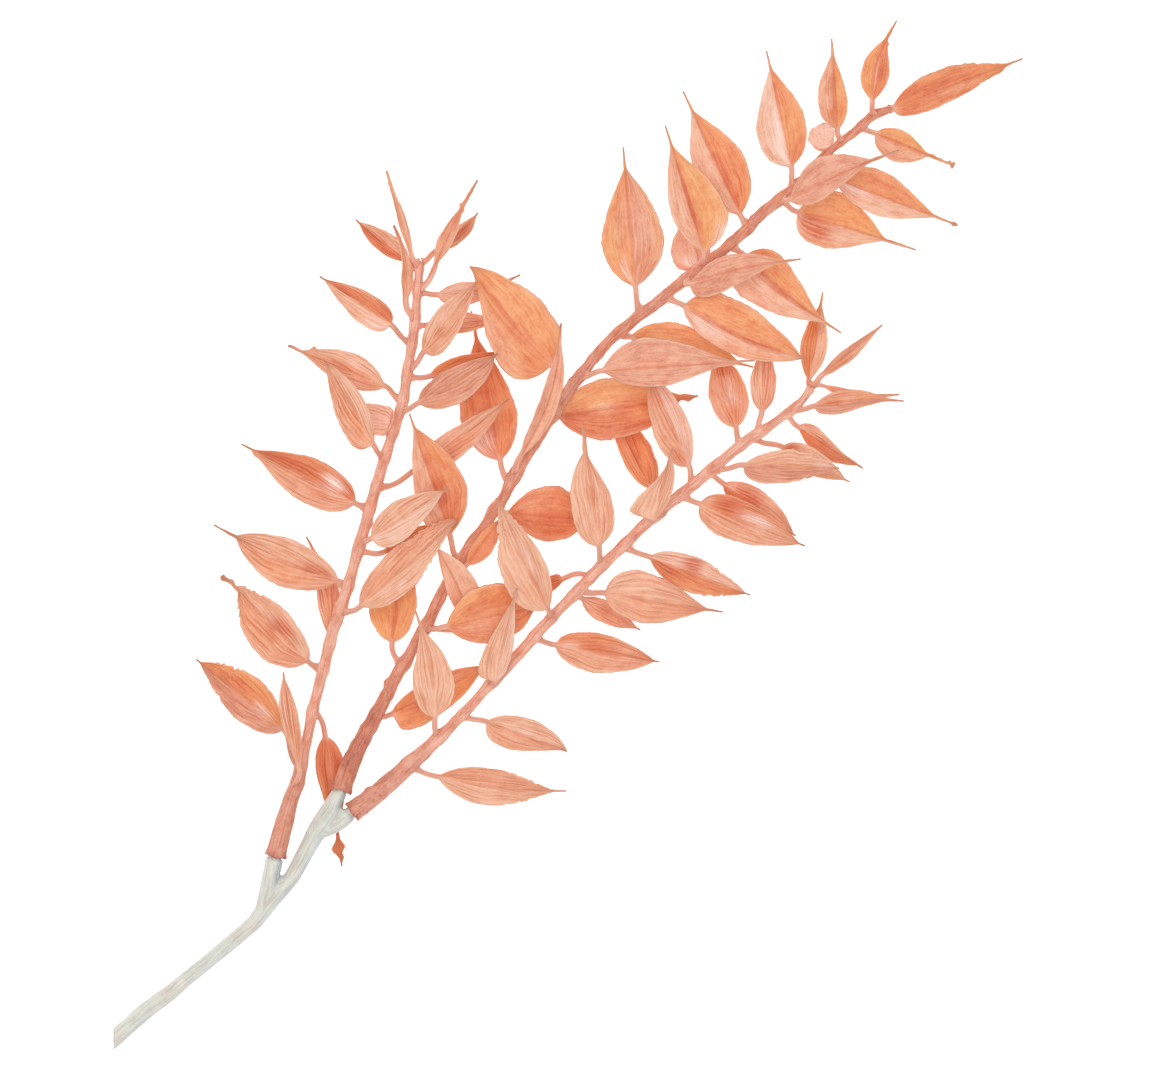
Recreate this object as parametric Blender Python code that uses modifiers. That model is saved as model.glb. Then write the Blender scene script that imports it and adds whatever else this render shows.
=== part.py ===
"""A dried ruscus stem lying on a table: one pale forked stem with three pegs, three leafy sprays whose
sleeves are pushed over the pegs, and the leaves of each spray on their own short stalks.

Places are read by hand from the photo, in photo pixels, and turned into metres by MM_PER_PX, so the whole
object follows that one size. Heights above the table are in millimetres. +Y runs from the cut end to the
last leaf, +Z is up, and the origin is at the middle of the object's footprint, on the table.
"""

import math

import bpy
from mathutils import Matrix, Vector

MM_PER_PX = 0.34  # a leaf 110 to 140 pixels long is then 37 to 48 mm
TURN_DEG = 42.9  # brings the line from the cut end to the last tip onto +Y
CENTRE_PX = (600.0, 540.0)  # any fixed pixel: the whole is centred afterwards

CLEARANCE_MM = 0.3  # between any two pieces
BLADE_MM = 0.6  # leaf thickness
STALK_MM = 1.5  # stalk thickness
STALK_WIDE_MM = 1.5
TIP_WIDE_MM = 0.7
CUP = 0.16  # how far a leaf's edges rise, as a share of its half width
ARCH = 0.035  # how far a leaf's middle rises, as a share of its length
FOOT_MM = 1.35  # radius of the knob that two leaves share
PEG_MM = 2.0  # radius of a peg inside its sleeve
SOCKET_MM = 2.5  # radius of a sleeve's bore
SOCKET_DEEP_MM = 10.0
SIDES = 10

BLADE_ROWS = (0.0, 0.07, 0.18, 0.32, 0.47, 0.62, 0.77, 0.9, 1.0)
WIDEST_RISE = 0.65  # powers of the leaf outline s^rise * (1 - s)^fall
WIDEST_FALL = 1.1

# Stem middles: (pixel x, pixel y, height mm, radius mm).
PALE_MAIN = (
    (98, 1053, 2.15, 2.9),
    (147, 1010, 4.9, 2.8),
    (169, 996, 7.3, 3.1),
    (183, 982, 9.1, 2.8),
    (220, 950, 14.0, 2.6),
    (253, 922, 17.6, 2.8),
    (271, 900, 19.6, 3.2),
    (290, 878, 20.8, 2.7),
    (304, 852, 21.8, 2.6),
    (319, 826, 22.6, 3.0),
    (328, 814, 23.0, 3.1),
    (335, 800, 23.3, 2.7),
    (339, 793.5, 23.4, 2.7),
)
PALE_LEFT = (
    (262, 911, 18.8, 2.2),
    (269, 891, 20.4, 2.8),
    (272, 872, 21.8, 2.7),
    (274.5, 859, 22.6, 3.0),
)
PALE_RIGHT = (
    (322, 832, 22.4, 2.3),
    (336, 824, 22.8, 2.8),
    (348, 814.5, 23.2, 2.9),
)
LEFT_STEM = (
    (275, 856, 22.8, 3.5),
    (283, 826, 24.2, 3.3),
    (290, 799, 25.2, 3.2),
    (298, 783, 25.6, 3.0),
    (307, 751, 26.4, 2.7),
    (312, 711, 27.2, 2.4),
    (333, 631, 28.8, 2.3),
    (347, 590, 29.6, 2.3),
    (366, 517, 30.6, 2.2),
    (384, 462, 31.4, 2.1),
    (404, 402, 32.0, 2.0),
    (414, 332, 32.6, 1.9),
    (417, 300, 32.8, 1.8),
    (420, 261, 33.0, 1.6),
)
CENTRE_STEM = (
    (341, 790, 23.6, 3.5),
    (352, 759, 24.4, 3.3),
    (371, 722, 25.2, 2.9),
    (388, 693, 25.8, 2.6),
    (417, 635, 27.0, 2.4),
    (442, 592, 27.8, 2.4),
    (472, 543, 28.4, 2.4),
    (498, 503, 28.8, 2.4),
    (536, 449, 29.0, 2.3),
    (572, 390, 29.0, 2.3),
    (604, 344, 29.0, 2.3),
    (652, 304, 28.8, 2.3),
    (715, 255, 28.4, 2.2),
    (762, 213, 27.6, 2.1),
    (794, 189, 26.6, 2.1),
    (825, 154, 25.4, 2.0),
    (857, 129, 24.0, 1.9),
    (892, 107, 22.0, 1.7),
)
RIGHT_STEM = (
    (352, 812, 23.4, 3.5),
    (380, 791, 24.2, 3.4),
    (412, 761, 25.0, 3.0),
    (439, 734, 25.4, 2.6),
    (479, 691, 26.0, 2.4),
    (520, 651, 26.4, 2.4),
    (555, 611, 26.6, 2.4),
    (603, 562, 26.8, 2.4),
    (648, 521, 26.8, 2.3),
    (696, 481, 26.4, 2.2),
    (744, 441, 25.8, 2.1),
    (776, 420, 25.2, 1.9),
    (814, 384, 24.4, 1.6),
)
CUT_X_PX = 112  # the oblique cut is upright in the photo

# Each leaf: place on its stem, end of stalk, tip (pixels), seen half width left and right of its middle line
# going to the tip (pixels), height at end of stalk and at tip (mm), roll about its own length (degrees),
# sideways bend (share of length).
LEFT_LEAVES = {
    1: ((416, 264), (412, 256), (386, 171), 5, 5, 37, 45, 45, 0),
    2: ((412, 316), (406, 299), (385, 211), 6, 6, 37.5, 38, 45, -0.055),
    3: ((416, 268), (409, 261), (356, 220), 9, 9, 33, 26, 20, 0.02),
    4: ((421, 284), (433, 266), (478, 181), 7, 7, 37, 42, -30, 0.07),
    5: ((420, 262), (435, 252), (478, 213), 7, 8, 32, 28, -20, -0.06),
    6: ((409, 342), (391, 325), (320, 277), 16.5, 16, 35, 38, 10, -0.01),
    7: ((422, 293), (438, 295), (520, 275), 12, 12, 31, 24, -10, -0.06),
    8: ((412, 368), (424, 352), (477, 283), 15, 15, 37, 44, -15, 0),
    9: ((418, 326), (430, 325), (502, 320), 11, 11, 30, 20, -10, 0),
    10: ((400, 399), (385, 386), (288, 346), 12.5, 18, 32, 22, 10, 0),
    11: ((382, 456), (374, 445), (325, 361), 22, 14.5, 37, 37, 5, 0),
    12: ((393, 425), (389, 420), (338, 398), 14, 14, 28, 16, 0, 0),
    13: ((367, 508), (355, 503), (241, 444), 24, 21.5, 32, 16, 6, 0),
    14: ((347, 586), (338, 581), (213, 525), 26, 21.5, 30, 8, 6, 0.02),
    15: ((332, 646), (330, 636), (306, 537), 11, 12, 23, 11, 15, -0.07),
    16: ((319, 668), (308, 661), (222, 575), 26, 24, 29, 6, 6, 0.045),
    17: ((303, 764), (283, 729), (195, 660), 21, 24, 24, 0.4, 0, 0),
    18: ((303, 782), (301, 770), (284, 672), 9, 9.5, 32, 40, 20, 0),
    19: ((317, 714), (325, 737), (343, 867), 14, 18, 20, 6, 6, 0),
    20: ((405, 411), (419, 403), (498, 354), 15.5, 20, 37, 41, -5, -0.03),
    21: ((414, 378), (431, 376), (505, 350), 13, 14, 31, 27, -5, 0),
    22: ((383, 486), (413, 467), (509, 399), 12, 17, 33, 31, -8, -0.01),
    23: ((364, 541), (372, 538), (449, 488), 17.5, 20, 38, 48, -5, 0),
    24: ((347, 612), (361, 606), (457, 520), 19, 21, 34, 40, -5, 0),
    25: ((365, 552), (384, 552), (440, 526), 10, 10, 29, 27, 0, 0),
}
CENTRE_LEAVES = {
    1: ((560, 412), (552, 366), (470, 267), 28, 30, 33, 37, 5, 0.03),
    2: ((506, 478), (500, 460), (471, 311), 31, 25, 25, 13, 5, 0),
    3: ((460, 560), (450, 535), (410, 414), 22, 34, 35, 45, 0, 0),
    4: ((513, 470), (520, 457), (561, 324), 10, 10, 36, 45, 25, -0.08),
    5: ((556, 418), (566, 417), (698, 396), 31, 30, 25, 17, 0, 0),
    6: ((583, 374), (602, 371), (754, 361), 28, 21, 35, 42, -5, 0),
    7: ((622, 333), (631, 337), (753, 367), 23, 18, 27, 24, -5, 0),
    8: ((668, 297), (684, 306), (806, 360), 34, 21, 33, 33, 0, -0.05),
    9: ((688, 283), (693, 285), (800, 260), 16, 20, 36, 43, -8, 0.03),
    10: ((735, 249), (745, 256), (841, 333), 25, 26, 27, 28, 0, -0.035),
    11: ((637, 314), (635, 287), (623, 148), 30.5, 32, 34, 40, 0, 0),
    12: ((703, 266), (704, 253), (665, 127), 20, 34, 36, 45, 0, 0),
    13: ((747, 225), (740, 215), (683, 92), 25, 28, 30, 32, 0, 0),
    14: ((699, 270), (698, 264), (688, 213), 25, 14, 22, 4, 0, 0),
    15: ((793, 186), (791, 167), (766, 52), 27, 23.5, 32, 40, 0, 0),
    16: ((841, 142), (838, 130), (831, 40), 18, 13, 31, 38, 10, 0),
    17: ((872, 113), (872, 101), (896, 22), 14, 14, 30, 38, -5, 0.1),
    18: ((899, 103), (905, 102), (1024, 56), 18.5, 15, 20, 0.4, 0, 0),
    19: ((866, 130), (876, 133), (955, 165), 15, 19, 20, 10, 0, 0),
    20: ((783, 200), (789, 200), (898, 151), 20, 17, 33, 37, -5, 0.02),
    21: ((800, 184), (834, 178), (958, 225), 24, 20, 21, 18, 0, 0),
    22: ((788, 206), (798, 212), (917, 249), 31, 27, 21, 5, 0, 0),
    23: ((828, 153), (826, 150), (822, 119), 17, 11, 19, 4, 0, 0),
    24: ((431, 628), (470, 618), (435, 544), 12, 19, 29, 36, 0, -0.03),
    25: ((430, 629), (447, 626), (535, 606), 32, 27, 36, 28, 0, 0),
    26: ((497, 508), (507, 513), (592, 520), 28, 26, 24, 15, 0, 0),
    27: ((462, 568), (467, 564), (499, 520), 7, 13, 31, 32, 0, 0),
    28: ((399, 662), (392, 642), (403, 546), 27, 20, 23, 13, 0, 0),
    29: ((381, 718), (392, 714), (482, 667), 15, 23, 18, 10, 0, -0.02),
}
RIGHT_LEAVES = {
    1: ((438, 735), (435, 717), (416, 611), 20.5, 21, 32, 40, 5, -0.045),
    2: ((415, 768), (438, 777), (566, 792), 18, 19, 18, 0.4, 0, -0.03),
    3: ((494, 684), (495, 678), (517, 588), 20, 10, 32, 40, 10, 0),
    4: ((466, 718), (486, 723), (569, 755), 17.5, 17.5, 20, 8, 0, 0),
    5: ((551, 616), (548, 609), (496, 498), 27, 19.5, 34, 40, 0, 0),
    6: ((541, 641), (556, 645), (659, 662), 19, 22, 22, 12, 0, 0),
    7: ((585, 592), (605, 593), (723, 612), 29, 23.5, 26, 19, 0, 0),
    8: ((578, 598), (584, 599), (640, 630), 10, 13, 19, 10, 0, 0),
    9: ((628, 548), (650, 557), (750, 595), 18, 19.5, 29, 26, 5, 0),
    10: ((601, 561), (599, 546), (582, 424), 23, 20, 33, 35, 0, 0),
    11: ((655, 514), (651, 510), (672, 449), 23, 11, 33, 38, 5, 0),
    12: ((692, 480), (689, 466), (648, 371), 20, 17, 29, 28, 0, 0),
    13: ((657, 512), (650, 487), (614, 409), 13.5, 15, 20, 10, 0, 0),
    14: ((739, 441), (736, 427), (720, 357), 19.5, 19, 22, 13, 0, 0),
    15: ((759, 433), (762, 411), (765, 349), 13, 13, 25, 20, 0, 0),
    16: ((812, 385), (811, 373), (823, 292), 12, 11.5, 22, 16, 10, 0),
    17: ((815, 383), (822, 375), (882, 325), 7, 7, 27, 31, 30, 0),
    18: ((816, 385), (824, 385), (900, 394), 5, 5, 19, 8, 15, 0),
    19: ((797, 408), (814, 406), (904, 401), 11, 9.5, 26, 20, -10, 0.04),
    20: ((790, 417), (799, 427), (864, 468), 11, 13, 17, 0.4, 0, 0),
    21: ((721, 470), (743, 465), (839, 468), 17, 18, 29, 26, 0, 0),
    22: ((757, 440), (783, 447), (850, 482), 15, 15, 21, 15, 0, 0),
    23: ((687, 499), (700, 504), (805, 546), 20, 22.5, 28, 23, 0, 0),
    24: ((714, 476), (724, 484), (796, 536), 17, 13, 20, 11, 0, 0),
    25: ((586, 574), (564, 582), (515, 629), 11, 12, 18, 10, 0, 0),
}
# Leaves that spring from one knob, and so are one solid.
SHARED = {
    "left": ((1, 3), (4, 5), (2, 6), (10, 12), (20, 21), (23, 25), (17, 18)),
    "centre": ((1, 5), (2, 4), (3, 27), (12, 14), (15, 21), (20, 22), (16, 23), (17, 19), (24, 25)),
    "right": ((7, 8), (11, 13), (16, 17, 18), (19, 20), (15, 22), (21, 24)),
}


def clear_scene():
    for found in list(bpy.data.objects):
        bpy.data.objects.remove(found, do_unlink=True)


def collection_named(name, hidden=False):
    made = bpy.data.collections.new(name)
    bpy.context.scene.collection.children.link(made)
    made.hide_render = hidden
    return made


def material_named(name, colour, roughness):
    made = bpy.data.materials.new(name)
    made.use_nodes = True
    shader = made.node_tree.nodes["Principled BSDF"]
    shader.inputs["Base Color"].default_value = (*colour, 1.0)
    shader.inputs["Roughness"].default_value = roughness
    return made


def place(px, py, height_mm):
    """Photo pixel and height to metres: pixels from CENTRE_PX, scaled and turned."""
    turn = math.radians(TURN_DEG)
    across = (px - CENTRE_PX[0]) * MM_PER_PX
    up = (CENTRE_PX[1] - py) * MM_PER_PX
    x = across * math.cos(turn) - up * math.sin(turn)
    y = across * math.sin(turn) + up * math.cos(turn)
    return Vector((x, y, height_mm)) / 1000


def tube(name, stations, material, target):
    """A round stem with filled ends through the stations, as a mesh object."""
    curve = bpy.data.curves.new(name, "CURVE")
    curve.dimensions = "3D"
    curve.bevel_depth = 0.001
    curve.bevel_resolution = (SIDES - 4) // 2
    curve.use_fill_caps = True
    spline = curve.splines.new("POLY")
    spline.points.add(len(stations) - 1)
    for point, (px, py, height, radius) in zip(spline.points, stations):
        point.co = (*place(px, py, height), 1.0)
        point.radius = radius
    shaped = bpy.data.objects.new(name + "_path", curve)
    target.objects.link(shaped)
    bpy.context.view_layer.update()
    graph = bpy.context.evaluated_depsgraph_get()
    mesh = bpy.data.meshes.new_from_object(shaped.evaluated_get(graph))
    bpy.data.objects.remove(shaped)
    made = bpy.data.objects.new(name, mesh)
    target.objects.link(made)
    weld = made.modifiers.new("weld", "WELD")
    weld.merge_threshold = 0.00001
    apply_modifiers(made)
    dress(made, material)
    return made


def apply_modifiers(made):
    """Replaces the mesh by its evaluated one and drops the modifiers."""
    bpy.context.view_layer.update()
    graph = bpy.context.evaluated_depsgraph_get()
    mesh = bpy.data.meshes.new_from_object(made.evaluated_get(graph))
    made.modifiers.clear()
    made.data = mesh


def dress(made, material):
    made.data.materials.clear()
    made.data.materials.append(material)


def combine(made, other, operation):
    """Applies one exact Boolean and removes the other solid."""
    step = made.modifiers.new(operation.lower(), "BOOLEAN")
    step.operation = operation
    step.solver = "EXACT"
    step.object = other
    apply_modifiers(made)
    bpy.data.objects.remove(other, do_unlink=True)


def along(stations, start_mm, end_mm, radius):
    """Two stations on a stem's first straight run, at two distances from its first station."""
    first = Vector(stations[0][:3])
    second = Vector(stations[1][:3])
    whole = (place(*second) - place(*first)).length * 1000
    return [(*first.lerp(second, distance / whole), radius) for distance in (start_mm, end_mm)]


def spray_stem(name, stations, material, target, cutters):
    """A spray's stem with the blind bore of its sleeve."""
    stem = tube(name, stations, material, target)
    bore = tube(name + "_bore", along(stations, -3.0, SOCKET_DEEP_MM, SOCKET_MM), material, cutters)
    combine(stem, bore, "DIFFERENCE")
    return stem


def pale_stem(material, target, cutters):
    """The forked stem: the main run, two branches, three pegs, and the oblique cut."""
    stem = tube("pale_stem", PALE_MAIN, material, target)
    for label, stations in (("left", PALE_LEFT), ("right", PALE_RIGHT)):
        combine(stem, tube("branch_" + label, stations, material, cutters), "UNION")
    for label, stations in (("left", LEFT_STEM), ("centre", CENTRE_STEM), ("right", RIGHT_STEM)):
        peg = along(stations, -3.5, SOCKET_DEEP_MM - CLEARANCE_MM, PEG_MM)
        combine(stem, tube("peg_" + label, peg, material, cutters), "UNION")
    combine(stem, cut_block(cutters), "DIFFERENCE")
    return stem


def cut_block(cutters):
    """A block whose one face is the oblique cut."""
    side = 0.06
    bpy.ops.mesh.primitive_cube_add(size=side)
    block = bpy.context.active_object
    block.name = "cut_block"
    for old in list(block.users_collection):
        old.objects.unlink(block)
    cutters.objects.link(block)
    middle = place(CUT_X_PX - 0.5 * side * 1000 / MM_PER_PX, 1039, 3)
    turned = Matrix.Rotation(math.radians(TURN_DEG), 4, "Z")
    block.data.transform(Matrix.Translation(middle) @ turned)
    return block


def nearest_on(stations, px, py):
    """The stem's middle, its direction and its radius nearest to a photo pixel."""
    best = None
    for first, second in zip(stations, stations[1:]):
        a = Vector(first[:2])
        b = Vector(second[:2])
        share = (Vector((px, py)) - a).dot(b - a) / (b - a).length_squared
        share = min(max(share, 0.0), 1.0)
        found = a.lerp(b, share)
        miss = (found - Vector((px, py))).length
        if best is None or miss < best[0]:
            height = first[2] + (second[2] - first[2]) * share
            radius = first[3] + (second[3] - first[3]) * share
            start = place(*first[:3])
            run = (place(*second[:3]) - start).normalized()
            best = (miss, place(found.x, found.y, height), run, radius / 1000)
    return best[1:]


def leaf_frame(leaf):
    """(run, across, up) of a leaf: along it, across its blade, and out of its upper face."""
    roll = math.radians(leaf[7])
    run = (place(*leaf[2], leaf[6]) - place(*leaf[1], leaf[5])).normalized()
    level = Vector((0, 0, 1)).cross(run).normalized()
    above = run.cross(level)
    across = level * math.cos(roll) + above * math.sin(roll)
    up = above * math.cos(roll) - level * math.sin(roll)
    return run, across, up


def stalk_start(stations, leaf):
    """Where a stalk begins: a clear gap off the stem's skin, on the side it leaves for."""
    middle, run, radius = nearest_on(stations, *leaf[0])
    toward = place(*leaf[1], leaf[5]) - middle
    radial = (toward - run * toward.dot(run)).normalized()
    up = leaf_frame(leaf)[2]
    across = up.cross(toward).normalized()
    inward = 0.5 * (STALK_WIDE_MM * abs(across.dot(radial)) + STALK_MM * abs(up.dot(radial)))
    return middle + radial * (radius + (CLEARANCE_MM + inward) / 1000)


def knob_centre(stations, leaves):
    """Middle of a knob shared by some leaves, on the side of the stem they leave for."""
    middle = Vector((0, 0, 0))
    run = Vector((0, 0, 0))
    radius = 0.0
    for leaf in leaves:
        found = nearest_on(stations, *leaf[0])
        middle += found[0] / len(leaves)
        run += found[1]
        radius = max(radius, found[2])
    run.normalize()
    radial = Vector((0, 0, 0))
    for leaf in leaves:
        toward = place(*leaf[1], leaf[5]) - middle
        radial += (toward - run * toward.dot(run)).normalized()
    radial.normalize()
    return middle + radial * (radius + (CLEARANCE_MM + FOOT_MM) / 1000)


def outline(share):
    """Half width of a leaf at a share of its length, 1 at the widest."""
    peak = WIDEST_RISE / (WIDEST_RISE + WIDEST_FALL)
    top = peak**WIDEST_RISE * (1 - peak) ** WIDEST_FALL
    return share**WIDEST_RISE * (1 - share) ** WIDEST_FALL / top


def leaf_rows(start, leaf):
    """(middle, across, up, half widths right and left, thickness share) for each row of a middle surface."""
    base = place(*leaf[1], leaf[5])
    tip = place(*leaf[2], leaf[6])
    true_size = MM_PER_PX / 1000 / math.cos(math.radians(leaf[7]))
    right = leaf[4] * true_size
    left = leaf[3] * true_size
    length = (tip - base).length
    run, across, up = leaf_frame(leaf)
    level = Vector((0, 0, 1)).cross(run).normalized()
    above = run.cross(level)
    stalk_run = (base - start).normalized()
    stalk_across = up.cross(stalk_run).normalized()
    joint_across = up.cross(stalk_run + run).normalized()
    narrow = STALK_WIDE_MM / 2000
    rows = []
    for share in (0.0, 0.5):
        rows.append((start.lerp(base, share), stalk_across, up, narrow, narrow, 1.0))
    for share in BLADE_ROWS:
        hump = math.sin(math.pi * share)
        middle = base.lerp(tip, share) + level * leaf[8] * length * hump + above * ARCH * length * hump
        least = (STALK_WIDE_MM + (TIP_WIDE_MM - STALK_WIDE_MM) * min(1.0, share * 2)) / 2000
        full = outline(share)
        thick = 1.0 if share == 0.0 else BLADE_MM / STALK_MM
        side = joint_across if share == 0.0 else across
        rows.append((middle, side, up, max(right * full, least), max(left * full, least), thick))
    return rows


def leaf_solid(name, start, leaf, material, target):
    """A folded sheet of three columns, thickened by a Solidify that is fuller along the stalk."""
    rows = leaf_rows(start, leaf)
    points = []
    for middle, across, up, right, left, thick in rows:
        cup = up * CUP * (0.0 if thick == 1.0 else 1.0)
        points += [middle - (across - cup) * right, middle, middle + (across + cup) * left]
    faces = []
    for row in range(len(rows) - 1):
        for column in range(2):
            first = 3 * row + column
            faces.append((first, first + 1, first + 4, first + 3))
    mesh = bpy.data.meshes.new(name)
    mesh.from_pydata([tuple(point) for point in points], [], faces)
    mesh.update()
    made = bpy.data.objects.new(name, mesh)
    target.objects.link(made)
    weight = made.vertex_groups.new(name="thickness")
    for row, found in enumerate(rows):
        weight.add([3 * row, 3 * row + 1, 3 * row + 2], found[5], "REPLACE")
    shell = made.modifiers.new("thickness", "SOLIDIFY")
    shell.thickness = STALK_MM / 1000
    shell.offset = 0.0
    shell.vertex_group = weight.name
    apply_modifiers(made)
    dress(made, material)
    return made


def knob(name, middle, material, target):
    bpy.ops.mesh.primitive_ico_sphere_add(subdivisions=2, radius=FOOT_MM / 1000)
    made = bpy.context.active_object
    made.name = name
    for old in list(made.users_collection):
        old.objects.unlink(made)
    target.objects.link(made)
    made.data.transform(Matrix.Translation(middle))
    dress(made, material)
    return made


def shared_leaves(spray, numbers, leaves, stations, material, target, cutters):
    """Two or three leaves that spring from one knob, as one solid."""
    chosen = [leaves[number] for number in numbers]
    middle = knob_centre(stations, chosen)
    label = "_".join(f"{number:02d}" for number in numbers)
    made = knob(f"{spray}_leaves_{label}", middle, material, target)
    for number, leaf in zip(numbers, chosen):
        combine(made, leaf_solid(f"{spray}_joined_{number}", middle, leaf, material, cutters), "UNION")
    return made


def spray_leaves(spray, leaves, stations, material, target, cutters):
    shared = SHARED[spray]
    taken = {number for numbers in shared for number in numbers}
    for numbers in shared:
        shared_leaves(spray, numbers, leaves, stations, material, target, cutters)
    for number, leaf in leaves.items():
        if number not in taken:
            start = stalk_start(stations, leaf)
            leaf_solid(f"{spray}_leaf_{number:02d}", start, leaf, material, target)


def put_origin_under_middle(target):
    """Moves every mesh so that the origin is under the middle of the whole, on the table."""
    corners = [found.matrix_world @ vertex.co for found in target.objects for vertex in found.data.vertices]
    low = [min(corner[axis] for corner in corners) for axis in range(3)]
    high = [max(corner[axis] for corner in corners) for axis in range(3)]
    shift = Vector((-(low[0] + high[0]) / 2, -(low[1] + high[1]) / 2, -low[2]))
    for found in target.objects:
        found.data.transform(Matrix.Translation(shift))
    print("shift mm", [round(value * 1000, 3) for value in shift])


def main():
    clear_scene()
    target = collection_named("dried_ruscus_stem")
    cutters = collection_named("cutters", hidden=True)
    pale = material_named("pale_stem", (0.76, 0.75, 0.67), 0.5)
    salmon = material_named("spray_stem", (0.75, 0.34, 0.23), 0.6)
    peach = material_named("left_leaf", (0.82, 0.46, 0.29), 0.5)
    orange = material_named("centre_leaf", (0.80, 0.23, 0.08), 0.45)
    pink = material_named("right_leaf", (0.80, 0.40, 0.25), 0.5)
    pale_stem(pale, target, cutters)
    spray_stem("left_spray_stem", LEFT_STEM, salmon, target, cutters)
    spray_stem("centre_spray_stem", CENTRE_STEM, salmon, target, cutters)
    spray_stem("right_spray_stem", RIGHT_STEM, salmon, target, cutters)
    spray_leaves("left", LEFT_LEAVES, LEFT_STEM, peach, target, cutters)
    spray_leaves("centre", CENTRE_LEAVES, CENTRE_STEM, orange, target, cutters)
    spray_leaves("right", RIGHT_LEAVES, RIGHT_STEM, pink, target, cutters)
    for helper in list(cutters.objects):
        bpy.data.objects.remove(helper, do_unlink=True)
    put_origin_under_middle(target)


main()
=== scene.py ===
# %% [markdown]
# # A dried ruscus stem, leaf by leaf
# The object is a pale forked stem with three leafy sprays pushed over its pegs. It lies on a table and the
# camera looks straight down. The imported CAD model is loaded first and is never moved: each leaf, each spray
# stem and the pale stem is then given a finished surface that stands in for its plain solid.

# %% Load the frame
import math

import bpy
import numpy as np
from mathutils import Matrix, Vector


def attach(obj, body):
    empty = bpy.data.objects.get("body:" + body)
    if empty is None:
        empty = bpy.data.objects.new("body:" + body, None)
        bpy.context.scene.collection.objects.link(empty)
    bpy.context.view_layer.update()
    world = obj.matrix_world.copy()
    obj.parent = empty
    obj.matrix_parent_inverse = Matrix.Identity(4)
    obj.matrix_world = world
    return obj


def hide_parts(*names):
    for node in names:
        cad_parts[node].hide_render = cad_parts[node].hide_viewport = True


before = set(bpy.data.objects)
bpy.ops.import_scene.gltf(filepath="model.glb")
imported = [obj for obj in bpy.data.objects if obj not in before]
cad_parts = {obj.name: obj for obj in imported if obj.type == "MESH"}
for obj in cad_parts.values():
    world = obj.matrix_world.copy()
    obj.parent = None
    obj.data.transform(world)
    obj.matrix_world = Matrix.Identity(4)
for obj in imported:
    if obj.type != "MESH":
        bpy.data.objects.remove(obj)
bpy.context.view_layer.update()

# %% [markdown]
# ## From a place on the photo to a place on the table
# One real size drives everything: a photo pixel is 0.34 mm, which makes a leaf 35 to 50 mm long. A place is
# read as (pixel across, pixel down) with a height above the table in millimetres. The picture is turned so
# that the long way of the stem lies along +Y, and moved as the CAD moves it, so that the origin is under
# the middle of the whole.

# %% Scale and place
MM = 0.001
PIXEL_MM = 0.34
TURN = math.radians(42.9)
CENTRE_PX = (600.0, 540.0)
CENTRED_BY_MM = (43.13, 10.748, -0.083)


def place(px, py, height_mm):
    """Pixels to metres: scaled about CENTRE_PX, turned by TURN, moved by CENTRED_BY_MM."""
    across = (np.asarray(px, float) - CENTRE_PX[0]) * PIXEL_MM
    up = (CENTRE_PX[1] - np.asarray(py, float)) * PIXEL_MM
    x = across * math.cos(TURN) - up * math.sin(TURN) + CENTRED_BY_MM[0]
    y = across * math.sin(TURN) + up * math.cos(TURN) + CENTRED_BY_MM[1]
    z = np.asarray(height_mm, float) + CENTRED_BY_MM[2]
    return np.stack(np.broadcast_arrays(x, y, z), axis=-1) * MM


print("tip of the whole stem, metres:", place(1024, 56, 0.4).round(4))

# %% [markdown]
# ## The dry colours
# The leaves run from pale peach through salmon to a vivid orange and a deep orange red. The almost white
# patches where the light catches them are painted highlights. Each colour is a pair: the crest of a rib and
# the groove beside it, as 8-bit sRGB that is turned into linear light for the shader. Where a leaf's pair
# follows its ribs, the lighter crests and darker grooves are partly the leaf's own colour, partly painted
# light and shade.

# %% Palette
PALETTE = {
    "p": ((240, 191, 163), (223, 151, 117)),  # peach
    "s": ((238, 179, 148), (218, 136, 101)),  # salmon
    "o": ((237, 163, 113), (222, 124, 74)),  # orange
    "d": ((231, 146, 102), (211, 107, 68)),  # deep orange
    "y": ((239, 173, 120), (225, 139, 84)),  # yellow orange
    "b": ((231, 168, 140), (206, 126, 97)),  # brown salmon
    "w": ((244, 202, 180), (228, 168, 140)),  # palest peach
    "r": ((218, 116, 78), (195, 84, 54)),  # dark red
    "g": ((243, 198, 176), (224, 152, 123)),  # painted highlight: the pale tone where light catches a leaf
    "k": ((239, 184, 162), (216, 138, 110)),  # stalk
    "n": ((212, 146, 116), (172, 100, 74)),  # needle
    "c": ((208, 132, 108), (164, 86, 66)),  # collar and bruised stem
    "i": ((221, 221, 209), (192, 194, 187)),  # pale stem
    "j": ((226, 211, 198), (202, 187, 174)),  # pale stem where it blushes
    "l": ((190, 198, 204), (166, 175, 183)),  # pale stem on its shaded side
}


def linear(colour):
    """8-bit sRGB to linear light: the power curve of the sRGB standard."""
    share = np.asarray(colour, float) / 255
    return np.where(share <= 0.04045, share / 12.92, ((share + 0.055) / 1.055) ** 2.4)


TONES = {letter: (linear(crest), linear(groove)) for letter, (crest, groove) in PALETTE.items()}
print(len(TONES), "pairs of tones")

# %% [markdown]
# ## The stems' middle lines
# These are stations along each stem: pixel across, pixel down, height and radius in millimetres. They
# follow the CAD solids to about two millimetres, and their radii are those of the bare stem between its
# knobs.

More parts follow.
